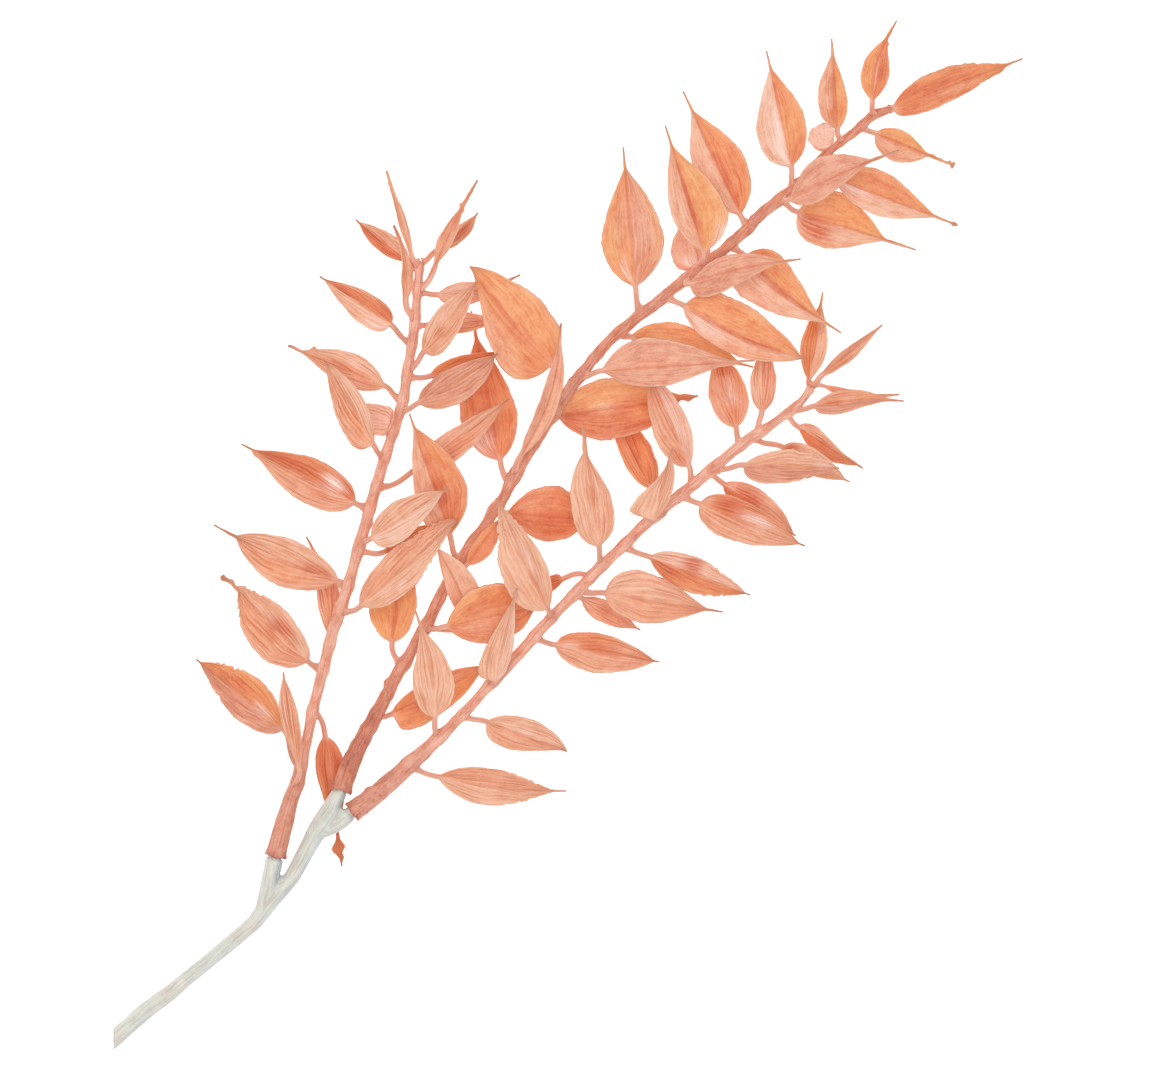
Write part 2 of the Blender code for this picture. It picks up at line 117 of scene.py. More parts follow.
# %% Stem stations
PALE_MAIN = (
    (98, 1053, 2.15, 2.95), (147, 1010, 4.9, 2.95), (168, 995, 7.3, 2.85), (183, 982, 9.1, 2.6),
    (221, 951, 14.0, 2.55), (254, 923, 17.6, 2.75), (271, 900, 19.6, 3.2), (291, 879, 20.8, 2.75),
    (305, 853, 21.8, 2.9), (319, 827, 22.6, 3.4), (328, 814, 23.0, 3.5), (335, 800, 23.3, 2.7),
    (339, 793.5, 23.4, 2.7),
)
PALE_LEFT = (
    (262, 911, 18.8, 2.6), (268, 891, 20.4, 3.1), (271.5, 872, 21.8, 3.0), (274.5, 859, 22.6, 3.1),
)
PALE_RIGHT = (
    (322, 832, 22.4, 2.3), (336, 824, 22.8, 3.1), (348, 814.5, 23.2, 3.0),
)
LEFT_STEM = (
    (275, 856, 22.8, 3.4), (283, 826, 24.2, 3.25), (290.5, 799, 25.2, 2.75), (297.3, 783, 25.6, 2.35),
    (304.5, 751, 26.4, 1.85), (312.5, 711, 27.2, 1.9), (333, 631, 28.8, 2.0), (347, 590, 29.6, 1.95),
    (367.5, 517, 30.6, 1.9), (383.5, 462, 31.4, 1.9), (403.2, 402, 32.0, 1.7), (414, 332, 32.6, 1.7),
    (417, 300, 32.8, 1.55), (420, 261, 33.0, 1.4),
)
CENTRE_STEM = (
    (341, 790, 23.6, 3.4), (352, 759, 24.4, 3.2), (371.5, 722.5, 25.2, 2.5), (388, 693, 25.8, 2.25),
    (398.5, 672, 26.3, 2.15), (406.5, 659, 26.5, 2.1), (411, 652, 26.7, 2.05), (416.5, 642, 26.8, 2.05),
    (420.5, 635, 27.0, 2.0), (424, 629, 27.1, 1.95), (428.5, 621, 27.3, 2.0), (434, 609.5, 27.5, 2.05),
    (442, 592, 27.8, 2.05), (472, 543, 28.4, 2.15), (483, 530, 28.5, 2.1), (494.5, 510, 28.7, 1.95),
    (502.5, 500, 28.8, 1.9), (512, 480, 28.9, 2.05), (529.5, 450, 29.0, 2.15), (570, 388.5, 29.0, 2.0),
    (605.5, 344, 29.0, 1.9), (623.5, 329, 28.9, 1.95), (640, 313.8, 28.8, 2.0), (650, 308.5, 28.8, 2.0),
    (660, 300, 28.7, 1.95), (670, 291.7, 28.7, 1.9), (690, 275.5, 28.6, 1.85), (725, 249, 28.3, 1.85),
    (750, 226.5, 27.9, 1.85), (762, 213, 27.6, 2.0), (794, 189, 26.6, 1.9), (810, 172, 26.0, 1.7),
    (824, 155.5, 25.4, 1.45), (832, 149, 25.1, 1.3), (839, 143.5, 24.8, 1.3), (847, 137.5, 24.4, 1.4),
    (855, 131.5, 24.1, 1.6), (864, 123.5, 23.4, 1.55), (870, 118, 23.0, 1.5), (876, 113.5, 22.7, 1.35),
    (884, 110.5, 22.3, 1.25), (892, 108, 22.0, 1.3),
)
RIGHT_STEM = (
    (352, 812, 23.4, 3.45), (380, 791, 24.2, 3.3), (412.5, 761.5, 25.0, 2.8), (444, 733, 25.5, 2.1),
    (457.5, 720, 25.7, 1.75), (476, 700, 25.9, 1.75), (484.5, 690, 26.0, 1.85), (503, 671, 26.2, 2.0),
    (521.5, 651, 26.4, 2.0), (540, 630, 26.5, 1.85), (557, 611.7, 26.6, 1.85), (578.5, 590, 26.7, 1.85),
    (597, 570, 26.8, 1.9), (619, 550, 26.8, 1.9), (639, 530, 26.8, 1.95), (648, 521, 26.8, 1.95),
    (696.8, 481.8, 26.4, 1.9), (744.6, 441.6, 25.8, 1.85), (769, 426.5, 25.4, 1.6),
    (780, 418.5, 25.2, 1.55), (793, 409.5, 24.9, 1.45), (803, 399.5, 24.7, 1.35), (809, 391.5, 24.5, 1.35),
    (813, 385, 24.4, 1.4),
)
CUT_PX = 112  # the oblique cut is upright in the photo
STEMS = {"left": LEFT_STEM, "centre": CENTRE_STEM, "right": RIGHT_STEM}
print({name: len(stations) for name, stations in STEMS.items()})

# %% [markdown]
# ## The leaves, one row each
# A leaf is a stalk and a blade that ends in a needle. A row says, in this order: where its stalk meets the
# stem, where the blade begins and where the needle ends (pixels); how wide the blade is to the left and to
# the right of its middle line (pixels, then the percentage of the length where it is widest, and for some
# the power that shapes the flank towards the tip); the needle's percentage of the length; the heights of
# the two ends above the table (mm); roll (degrees); sideways bend (percentage of the length); the tones of
# its left and right half. Patches of other tones may follow. A patch is (percentage along, percentage
# across from -100 at the right edge to 100 at the left, reach along, reach across, tone, strength).

# %% Left spray: pale, ribbed leaves
LEFT_LEAVES = {
    1: ((416, 264), (412, 256), (387, 172), (4, 38), (4.5, 38), 12, (37, 45), 45, 0, "sp"),
    2: ((412, 316), (406, 299), (394, 226), (5.5, 30), (6, 30), 14, (37.5, 38), 45, -7.5, "ss"),
    3: ((416, 268), (409, 261), (356, 220), (10, 42), (11.5, 42), 6, (33, 26), 20, 2, "dp",
        (58, 10, 30, 45, "r", 70)),
    4: ((421, 288), (435, 268), (478, 181), (7.3, 42), (7.8, 50), 28, (37, 42), -30, 2, "ss",
        (62, -20, 20, 60, "d", 70)),
    5: ((420, 262), (435, 252), (478, 213), (7, 50), (8, 50), 5, (32, 28), -20, -6, "ss",
        (66, 0, 20, 50, "r", 60)),
    6: ((409, 342), (391, 325), (320, 277), (17.5, 30), (14, 30), 6, (35, 38), 10, -1, "pd",
        (62, -10, 25, 20, "r", 90), (16, 50, 16, 40, "g", 80), (12, -50, 10, 30, "r", 50),
        (55, -85, 40, 15, "p", 80)),
    7: ((422, 293), (438, 295), (520, 275), (10.5, 36), (13.5, 30), 14, (31, 24), -10, -6, "wp",
        (20, 30, 20, 30, "g", 60)),
    8: ((412, 368), (424, 352), (477, 283), (14, 40), (17.5, 30), 4, (37, 44), -15, 0, "ps"),
    9: ((418, 326), (430, 325), (502, 320), (11, 40), (11, 40), 8, (30, 20), -10, 0, "wp"),
    10: ((400, 399), (385, 386), (288, 346), (15, 34), (18, 42), 12, (32, 22), 10, 0, "sp",
        (45, -10, 30, 15, "d", 70), (30, -55, 20, 20, "g", 40)),
    11: ((382, 456), (374, 445), (326, 362), (20.5, 25), (14.5, 48), 3, (37, 37), 5, 0, "sp",
        (30, 20, 20, 30, "o", 60), (50, -60, 30, 25, "w", 70)),
    12: ((393, 430), (391, 423), (340, 409), (15.5, 16), (15.5, 16), 0, (28, 16), 0, 0, "ww"),
    13: ((367, 508), (355, 503), (241, 444), (24, 34), (21.5, 36), 10, (32, 16), 6, 0, "sd",
        (62, -30, 28, 35, "r", 80), (20, -45, 10, 35, "g", 90), (20, 2, 12, 12, "g", 70),
        (28, 35, 12, 10, "r", 60), (50, 55, 10, 10, "r", 50), (80, 50, 20, 50, "s", 50)),
    14: ((347, 586), (338, 581), (213, 525), (26, 44, 0.95), (21.5, 46, 0.8), 19, (30, 8), 6, 2, "sp",
        (14, -20, 13, 35, "r", 80), (40, 50, 25, 30, "o", 60), (60, -40, 30, 40, "s", 50)),
    15: ((332, 646), (330, 636), (306, 537), (11, 40), (12, 42), 12, (23, 11), 15, -7, "ps",
        (30, 10, 30, 20, "o", 60)),
    16: ((319, 668), (308, 661), (222, 575), (31, 38.5, 0.8), (19, 50, 0.55), 20, (29, 6), 6, 0, "sp",
        (30, -35, 13, 30, "r", 85), (50, 50, 30, 40, "o", 35)),
    17: ((303, 764), (283, 729), (195, 660), (21, 35), (24, 45), 5, (24, 0.4), 0, 0, "bo",
        (55, -35, 20, 25, "r", 70), (50, -80, 30, 20, "y", 70), (22, -10, 10, 25, "g", 70),
        (60, 40, 20, 20, "r", 35)),
    18: ((300, 784), (300, 770), (284, 672), (8.5, 62, 0.8), (9.5, 50), 5, (32, 40), 20, 2, "ps"),
    19: ((317, 714), (325, 737), (341, 867), (16, 32), (13, 32), 24, (20, 6), 6, 0, "dd",
        (30, 0, 20, 15, "s", 70), (25, -40, 15, 20, "r", 60), (25, 60, 15, 30, "r", 50),
        (40, -75, 30, 20, "o", 50)),
    20: ((405, 411), (419, 403), (498, 354), (15.5, 40), (20, 45, 0.8), 4, (37, 41), -5, -3, "bb",
        (50, 10, 30, 30, "b", 50), (20, -70, 20, 20, "o", 40)),
    21: ((414, 378), (431, 376), (505, 350), (9.5, 36), (14, 36), 8, (31, 27), -5, 0, "os",
        (45, 60, 20, 40, "d", 60)),
    22: ((381, 487), (416, 469), (509, 399), (12, 32), (17, 36), 5, (33, 31), -8, -1, "ps",
        (35, -40, 25, 40, "d", 50)),
    23: ((364, 541), (372, 538), (449, 488), (17.5, 42), (20, 28), 6, (38, 48), -5, 0, "pw",
        (20, 10, 20, 30, "s", 30)),
    24: ((347, 612), (361, 606), (457, 520), (21, 48, 0.6), (21.5, 36, 1.3), 0, (34, 40), -5, 0, "sp",
        (35, -55, 6, 14, "g", 70), (80, -10, 20, 50, "p", 60), (30, 30, 20, 30, "o", 30)),
    25: ((365, 552), (384, 552), (440, 526), (10, 50), (10, 50), 0, (29, 27), 0, 0, "od"),
}
print(len(LEFT_LEAVES), "leaves on the left spray")

# %% Centre spray: smooth, vivid leaves
CENTRE_LEAVES = {
    1: ((560, 412), (552, 366), (470, 267), (38, 24, 1.6), (36.5, 38.5, 0.8), 0, (33, 37), 5, 3, "oo",
        (30, 10, 25, 25, "d", 90), (65, 5, 30, 25, "d", 70), (45, 75, 35, 35, "s", 80),
        (50, -60, 30, 40, "y", 45)),
    2: ((506, 478), (500, 460), (471, 311), (31, 34), (25, 36), 16, (25, 13), 5, 0, "dd",
        (24, 10, 12, 25, "r", 80), (15, 60, 12, 50, "g", 80), (40, 85, 20, 30, "o", 70),
        (30, -50, 30, 50, "o", 70)),
    3: ((460, 560), (450, 535), (410, 414), (22, 30), (31.5, 43), 10, (35, 45), 0, 0, "sd",
        (30, -15, 30, 20, "r", 55), (65, -70, 25, 35, "o", 80), (80, -10, 15, 50, "o", 60)),
    4: ((513, 470), (520, 457), (561, 324), (10, 45), (10, 45), 10, (36, 45), 25, -8, "bs"),
    5: ((553, 418), (558.5, 416), (698, 396), (30, 40, 0.9), (31, 42, 0.9), 12, (25, 17), 0, 0, "yd",
        (35, 5, 12, 20, "p", 70), (10, 0, 10, 50, "r", 60), (50, 10, 12, 30, "d", 80),
        (60, -30, 12, 40, "o", 90), (45, -80, 20, 25, "r", 60), (85, 0, 10, 100, "d", 80)),
    6: ((583, 374), (602, 371), (754, 361), (29.5, 35, 1.5), (20, 38, 1.6), 10, (35, 42), -5, 0, "bb",
        (40, 10, 25, 20, "d", 35), (70, 0, 30, 50, "p", 40)),
    7: ((622, 333), (631, 337), (753, 367), (24, 40, 1.0), (18, 40), 10, (27, 24), -5, 0, "yp",
        (30, 70, 30, 30, "o", 80), (10, 0, 8, 50, "r", 50)),
    8: ((668, 297), (684, 306), (806, 360), (31.5, 37), (20, 42), 3, (33, 33), 0, -4, "os",
        (22, -45, 16, 35, "g", 75), (50, -5, 35, 12, "r", 80), (30, 80, 30, 30, "o", 80),
        (60, -80, 40, 30, "o", 50)),
    9: ((688, 283), (689, 284), (800, 260), (16, 46), (19.5, 20), 14, (36, 43), -8, 3, "bb"),
    10: ((735, 249), (745, 256), (841, 333), (25, 28), (31, 22, 1.0), 16, (27, 28), 0, -3.5, "op",
        (45, -5, 30, 14, "r", 90), (30, 50, 25, 50, "o", 90), (60, 50, 20, 50, "y", 60)),
    11: ((640, 311), (635.5, 287), (623, 148), (29.5, 37, 1.25), (32, 40, 1.2), 13, (34, 40), 0, 0, "ob",
        (12, 40, 10, 20, "g", 70), (30, 65, 15, 30, "y", 80), (45, -85, 30, 20, "y", 60),
        (70, 0, 25, 50, "d", 60), (15, -50, 15, 40, "d", 50), (50, 30, 20, 40, "b", 60)),
    12: ((703, 266), (704, 253), (665, 127), (20, 42, 1.2), (34, 34, 1.35), 13, (36, 45), 0, 0, "sy",
        (35, -2, 35, 14, "r", 80), (50, 70, 30, 40, "p", 70), (10, -80, 12, 20, "g", 70),
        (75, -30, 12, 50, "o", 70)),
    13: ((747, 225), (740, 215), (683, 92), (25, 40, 1.15), (28, 40), 14, (30, 32), 0, 0, "po",
        (30, -12, 30, 20, "r", 90), (40, -50, 30, 40, "d", 80), (65, -50, 20, 50, "o", 80),
        (20, 50, 20, 30, "s", 50)),
    14: ((699, 270), (700, 268), (690, 215), (26, 22, 0.8), (14, 35), 0, (22, 4), 0, 0, "ps",
        (12, 30, 12, 50, "g", 80), (40, 60, 30, 50, "s", 60)),
    15: ((793, 186), (791, 167), (766, 52), (27, 34), (23.5, 40), 13, (32, 40), 0, 0, "wo",
        (25, 25, 25, 20, "g", 80), (70, -20, 20, 40, "d", 80), (15, -50, 12, 50, "d", 70),
        (35, 85, 35, 15, "s", 80)),
    16: ((841, 142), (837, 130), (831, 40), (18.5, 40, 1.15), (11.5, 36), 14, (31, 38), 10, 0, "so",
        (35, 10, 30, 20, "r", 60), (45, -60, 15, 30, "y", 60), (15, 0, 10, 60, "d", 70)),
    17: ((872, 113), (872, 101), (896, 22), (13.5, 40), (15, 42), 20, (30, 38), -5, 8, "od",
        (30, -10, 30, 10, "g", 35), (40, -50, 25, 30, "r", 60)),
    18: ((890, 109), (893, 108), (1024, 57), (20, 42, 1.0), (15.5, 28, 0.8), 12, (20, 0.4), 0, 0, "dd",
        (40, 30, 30, 30, "r", 50), (50, -30, 25, 30, "s", 45), (45, 85, 20, 15, "y", 60),
        (75, 0, 20, 80, "o", 50)),
    19: ((866, 130), (876, 133), (955, 165), (13, 38, 1.1), (19, 40, 0.75), 34, (20, 10), 0, 0, "ys",
        (35, 0, 25, 20, "d", 70), (10, 30, 10, 50, "d", 50)),
    20: ((783, 200), (789, 200), (898, 151), (23.5, 47, 1.25), (15.5, 30, 1.3), 22, (33, 37), -5, 2, "bb",
        (30, 10, 30, 30, "b", 50)),
    21: ((800, 184), (834, 178), (958, 225), (24, 34), (20, 42), 16, (21, 18), 0, 0, "op",
        (16, -30, 16, 25, "g", 95), (40, 50, 30, 40, "d", 60), (15, 30, 10, 20, "y", 70)),
    22: ((788, 206), (798, 212), (917, 249), (31, 34), (27, 27), 25, (21, 5), 0, 0, "yp",
        (16, -35, 14, 60, "r", 95), (30, 40, 25, 40, "o", 60), (30, -95, 20, 20, "o", 70)),
    23: ((828, 153), (826, 150), (824, 122), (17, 33, 0.8), (10.5, 50, 0.6), 0, (19, 4), 0, 0, "ww"),
    24: ((431, 628), (470, 618), (435, 544), (12, 36), (19, 40), 6, (29, 36), 0, -3, "sp",
        (50, -30, 30, 20, "s", 50)),
    25: ((430, 629), (447, 626), (535, 606), (32, 50), (27, 48), 0, (36, 28), 0, 0, "od",
        (35, 30, 20, 30, "r", 55), (40, -30, 30, 40, "s", 45), (70, 20, 20, 20, "r", 40)),
    26: ((497, 508), (507, 513), (592, 520), (31, 50, 0.88), (25, 50, 0.9), 4, (24, 15), 0, 0, "dd",
        (55, -30, 16, 50, "r", 70), (30, 50, 25, 40, "s", 40)),
    27: ((462, 568), (467, 564), (499, 520), (7, 45), (13, 45), 0, (31, 32), 0, 0, "od"),
    28: ((399, 662), (392, 642), (403, 546), (27, 38), (20, 38), 5, (23, 13), 0, 0, "yy",
        (30, 0, 40, 14, "r", 70), (25, 40, 15, 30, "o", 50)),
    29: ((381, 718), (392, 714), (482, 667), (15, 45), (23, 20, 0.7), 0, (18, 10), 0, -2, "oo",
        (25, -20, 13, 50, "d", 90), (70, -30, 15, 40, "y", 70), (75, 60, 20, 40, "s", 60),
        (20, -95, 20, 20, "y", 70)),
}
print(len(CENTRE_LEAVES), "leaves on the centre spray")

# %% Right spray: pale leaves with painted highlights
RIGHT_LEAVES = {
    1: ((438, 735), (435, 717), (416, 611), (20.5, 35), (21, 36), 14, (32, 40), 5, -4.5, "pp",
        (50, 0, 30, 20, "s", 40)),
    2: ((415, 768), (438, 777), (566, 792), (18.5, 42, 1.05), (19, 40), 10, (18, 0.4), 0, -3, "sp",
        (35, 35, 12, 10, "r", 50), (50, 60, 30, 20, "b", 50)),
    3: ((494, 684), (495, 681), (517, 588), (20, 17), (10, 35), 10, (32, 40), 10, 0, "pw"),
    4: ((466, 717), (487, 722), (567, 752), (18, 46, 0.8), (18.5, 25, 1.4), 0, (20, 8), 0, 0, "ps",
        (45, 20, 20, 20, "g", 50), (30, -60, 20, 30, "s", 60), (60, -20, 20, 12, "d", 40)),
    5: ((551, 616), (548, 609), (496, 498), (29, 34), (17.5, 42), 6, (34, 40), 0, 0, "pp",
        (45, -20, 15, 20, "g", 40), (30, 20, 20, 20, "s", 50), (15, 40, 10, 30, "o", 30)),
    6: ((541, 641), (556, 645), (659, 662), (18.5, 36), (21, 38), 4, (22, 12), 0, 0, "ds",
        (45, 15, 22, 25, "r", 90), (12, 15, 10, 30, "g", 70), (70, 50, 25, 40, "p", 70),
        (40, 70, 20, 20, "o", 50)),
    7: ((585, 592), (605, 593), (723, 612), (27.5, 30), (23.5, 36), 12, (26, 19), 0, 0, "ps",
        (20, 0, 15, 10, "r", 40), (50, -50, 30, 30, "o", 25)),
    8: ((578, 598), (583, 599), (640, 630), (10, 38), (12, 36), 5, (19, 10), 0, 0, "ss",
        (10, 0, 12, 60, "g", 50)),
    9: ((628, 548), (650, 557), (750, 595), (17, 42, 0.9), (19.5, 44), 5, (29, 26), 5, 0, "gd",
        (40, 50, 10, 50, "r", 90), (70, 50, 20, 50, "p", 70), (20, -50, 10, 30, "r", 50),
        (50, -70, 30, 30, "o", 70)),
    10: ((601, 561), (599, 546), (582, 424), (22.5, 42, 0.65), (20, 36), 23, (33, 35), 0, 0, "ps",
        (40, 10, 20, 10, "d", 30), (50, -40, 20, 12, "g", 40)),
    11: ((655, 514), (654, 520), (672, 449), (27, 10, 1.8), (10.5, 52, 0.8), 10, (33, 38), 5, 0, "pp"),
    12: ((692, 480), (689, 466), (648, 371), (20, 36), (17, 45), 3, (29, 28), 0, 0, "sg",
        (12, 30, 12, 40, "r", 60), (40, 10, 30, 20, "s", 70), (50, -35, 30, 20, "g", 80)),
    13: ((657, 512), (650, 487), (614, 409), (13.5, 40), (18, 35), 0, (20, 10), 0, 0, "od",
        (45, 40, 30, 30, "s", 70), (35, 10, 20, 15, "r", 60), (30, -50, 30, 40, "o", 80)),
    14: ((739, 441), (736, 427), (720, 357), (19.5, 42), (19, 42), 0, (22, 13), 0, 0, "ss",
        (50, -15, 22, 30, "g", 95), (85, 10, 14, 80, "d", 85), (15, -10, 14, 50, "d", 70),
        (45, 60, 25, 20, "p", 80), (60, -90, 30, 20, "o", 70)),
    15: ((761, 431), (762, 411), (765, 349), (13, 42), (13, 42), 0, (25, 20), 0, 0, "ps",
        (55, -10, 15, 10, "r", 50)),
    16: ((812, 385), (809, 380), (823, 292), (14, 42), (12.5, 42), 12, (22, 16), 10, 0, "op",
        (40, 40, 30, 40, "d", 40)),
    17: ((815, 383), (822, 375), (882, 325), (6, 40), (7, 40), 6, (27, 31), 30, 0, "bs",
        (25, -30, 15, 40, "d", 60)),
    18: ((816, 385), (822, 385), (900, 394), (4, 40), (5, 40), 10, (19, 8), 15, -6, "ss"),
    19: ((797, 408), (814, 406), (904, 401), (11, 40), (12.5, 25, 1.3), 12, (26, 20), -10, 4, "sb",
        (20, 0, 10, 30, "r", 70), (60, 50, 30, 40, "o", 30)),
    20: ((790, 417), (799, 427), (864, 468), (10, 18, 2.1), (13, 45), 8, (17, 0.4), 0, 0, "pd",
        (35, 20, 15, 20, "r", 60), (45, 70, 30, 30, "p", 80)),
    21: ((721, 470), (743, 465), (839, 468), (17, 50), (18, 30), 3, (29, 26), 0, 0, "pb",
        (50, 0, 30, 20, "s", 50), (85, 20, 10, 60, "g", 40)),
    22: ((757, 440), (783, 447), (850, 482), (13.5, 36, 0.9), (12.5, 40), 6, (21, 15), 0, 0, "ps",
        (10, 0, 10, 80, "r", 90), (60, 40, 20, 30, "g", 50), (50, -60, 25, 30, "o", 40)),
    23: ((687, 499), (700, 504), (805, 546), (20, 34), (22.5, 32), 5, (28, 23), 0, 0, "ds",
        (25, 40, 12, 50, "r", 95), (52, 30, 16, 30, "g", 90), (5, 50, 6, 50, "p", 80),
        (75, 30, 20, 50, "p", 80), (30, -20, 20, 20, "r", 35)),
    24: ((714, 476), (724, 484), (796, 536), (17, 42), (13, 40), 3, (20, 11), 0, 0, "sd",
        (33, 30, 14, 60, "r", 90), (50, 70, 30, 30, "p", 70), (8, 30, 6, 50, "g", 60)),
    25: ((586, 574), (563, 579), (516, 629), (6.5, 40), (10, 25, 0.8), 0, (18, 10), 0, -10, "dd"),
}
print(len(RIGHT_LEAVES), "leaves on the right spray")

# %% Rows with named values, and leaves that spring from one knob and are one piece
FIELDS = ("attach", "base", "tip", "left", "right", "needle", "heights", "roll", "bend", "tones")


def read_row(row):
    """A leaf's row by name, with percentages as shares of 1 and its patches in a list."""
    leaf = dict(zip(FIELDS, row))
    for key in ("needle", "bend"):
        leaf[key] = leaf[key] / 100
    for key in ("left", "right"):
        widest_px, at, *power = leaf[key]
        leaf[key] = (widest_px, at / 100, *power)
    patches = row[len(FIELDS) :]
    leaf["patches"] = [(*(part / 100 for part in patch[:4]), patch[4], patch[5] / 100) for patch in patches]
    return leaf


LEAVES = {
    "left": {number: read_row(row) for number, row in LEFT_LEAVES.items()},
    "centre": {number: read_row(row) for number, row in CENTRE_LEAVES.items()},
    "right": {number: read_row(row) for number, row in RIGHT_LEAVES.items()},
}
SHARED = {
    "left": ((1, 3), (4, 5), (2, 6), (10, 12), (20, 21), (23, 25), (17, 18)),
    "centre": ((1, 5), (2, 4), (3, 27), (12, 14), (15, 21), (20, 22), (16, 23), (17, 19), (24, 25)),
    "right": ((7, 8), (11, 13), (16, 17, 18), (19, 20), (15, 22), (21, 24)),
}


def leaf_nodes(spray):
    """Node name and leaf numbers of every leaf solid of one spray."""
    joined = {number for numbers in SHARED[spray] for number in numbers}
    for numbers in SHARED[spray]:
        yield f"{spray}_leaves_" + "_".join(f"{number:02d}" for number in numbers), numbers
    for number in LEAVES[spray]:
        if number not in joined:
            yield f"{spray}_leaf_{number:02d}", (number,)


print(sum(1 for spray in LEAVES for _ in leaf_nodes(spray)), "leaf nodes")

# %% [markdown]
# ## From a grid of points to a closed mesh
# Every surface here is a loft: a closed ring of points carried along a path. The grid has one row per ring,
# and a single point closes each end. The ring runs from the right edge over the top to the left edge and
# back underneath, so that quads wound along the path first face outwards.

# %% Loft a grid into mesh data
def loft(rings, start, end, values):
    """A closed tube as (points, quads, triangles, values): quads join ring to ring, fans close both ends.

    The point at each end gets the mean of the values of the ring beside it.
    """
    rows, around = rings.shape[:2]
    points = np.concatenate([rings.reshape(-1, 3), start[None], end[None]])
    row, column = np.meshgrid(np.arange(rows - 1), np.arange(around), indexing="ij")
    here = row * around + column
    beside = row * around + (column + 1) % around
    quads = np.stack([here, here + around, beside + around, beside], axis=-1).reshape(-1, 4)
    edge = np.arange(around)
    turned = (edge + 1) % around
    first = np.full(around, rows * around)
    last_row = (rows - 1) * around
    opening = np.stack([first, edge, turned], axis=-1)
    closing = np.stack([first + 1, last_row + turned, last_row + edge], axis=-1)
    values = {key: close_values(found) for key, found in values.items()}
    return points, quads, np.concatenate([opening, closing]), values


def close_values(found):
    """Grid values as a list of points, with those of both end points added."""
    flat = found.reshape(-1, *found.shape[2:])
    return np.concatenate([flat, found[:1].mean(axis=1), found[-1:].mean(axis=1)])


def put_mesh(name, parts):
    """One object from some (points, quads, triangles, values) parts, with its values as attributes."""
    points = np.concatenate([part[0] for part in parts])
    starts = np.cumsum([0] + [len(part[0]) for part in parts[:-1]])
    quads = np.concatenate([part[1] + start for part, start in zip(parts, starts)])
    triangles = np.concatenate([part[2] + start for part, start in zip(parts, starts)])
    corners = np.concatenate([quads.ravel(), triangles.ravel()]).astype(np.int32)
    sizes = np.concatenate([np.full(len(quads), 4), np.full(len(triangles), 3)])
    mesh = bpy.data.meshes.new(name)
    mesh.vertices.add(len(points))
    mesh.vertices.foreach_set("co", points.astype(np.float32).ravel())
    mesh.loops.add(len(corners))
    mesh.loops.foreach_set("vertex_index", corners)
    mesh.polygons.add(len(sizes))
    mesh.polygons.foreach_set("loop_start", (np.cumsum(sizes) - sizes).astype(np.int32))
    mesh.update(calc_edges=True)
    mesh.validate()
    mesh.shade_smooth()
    values = {key: np.concatenate([part[3][key] for part in parts]) for key in parts[0][3]}
    put_values(mesh, values, corners)
    made = add_object(name, mesh)
    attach(made, "root")
    return made


def add_object(name, data):
    """A new object in the scene, at the origin, unturned and unscaled."""
    made = bpy.data.objects.new(name, data)
    bpy.context.scene.collection.objects.link(made)
    return made


def put_values(mesh, values, corners):
    """Point attributes by width: 1 a number, 2 the UV map, 3 a vector, 4 a colour."""
    kinds = {1: ("FLOAT", "value"), 3: ("FLOAT_VECTOR", "vector"), 4: ("FLOAT_COLOR", "color")}
    for key, found in values.items():
        width = 1 if found.ndim == 1 else found.shape[1]
        if width == 2:
            flat = mesh.uv_layers.new(name=key)
            flat.data.foreach_set("uv", found[corners].astype(np.float32).ravel())
        else:
            kind, field = kinds[width]
            layer = mesh.attributes.new(key, kind, "POINT")
            layer.data.foreach_set(field, found.astype(np.float32).ravel())


trial = loft(np.zeros((3, 8, 3)), np.zeros(3), np.zeros(3), {})
print("a tube of 3 rings of 8 points:", len(trial[1]), "quads and", len(trial[2]), "triangles")

# %% Small helpers for whole arrays
def unit(vectors):
    """Vectors divided by their lengths."""
    return vectors / np.linalg.norm(vectors, axis=-1, keepdims=True)


def ramp(value, low, high):
    """0 below low, 1 above high, and between them the smooth cubic 3t^2 - 2t^3."""
    share = np.clip((value - low) / (high - low), 0, 1)
    return share * share * (3 - 2 * share)


def either(first, second, sharpness=5.0):
    """A soft maximum: the sum of the two raised to a power, brought back by its root."""
    return (np.maximum(first, 0) ** sharpness + np.maximum(second, 0) ** sharpness) ** (1 / sharpness)


def wander(value, seed, octaves=3):
    """A smooth wander between about -1 and 1: the sum of sines, each half as long and half as high as the
    one before, with seeded starts, over 1.5."""
    draw = np.random.default_rng(seed)
    total = np.zeros(np.shape(value))
    for octave in range(octaves):
        pitch = 2.0**octave * draw.uniform(0.8, 1.25)
        total = total + np.sin(2 * np.pi * (value * pitch + draw.random())) / 2.0**octave
    return total / 1.5


def skin_values(tones, strand, gloss_and_painted_highlight, rib, rim):
    """What the dry materials read: two colours, a place among the fibres in millimetres, and three masks."""
    crest, groove = (np.concatenate([tone, np.ones((*tone.shape[:-1], 1))], axis=-1) for tone in tones)
    strand = np.stack(np.broadcast_arrays(*strand), axis=-1)
    return {"crest": crest, "groove": groove, "strand": strand, "gloss_and_painted_highlight": gloss_and_painted_highlight, "rib": rib, "rim": rim}


print("soft maximum of 3 and 4:", either(3.0, 4.0).round(3))

# %% [markdown]
# ## Where a stalk leaves its stem
# A stalk grows out of the side of the stem, so it starts a little under the skin at the point of the middle
# line nearest to its place on the photo, on the side that faces the blade.

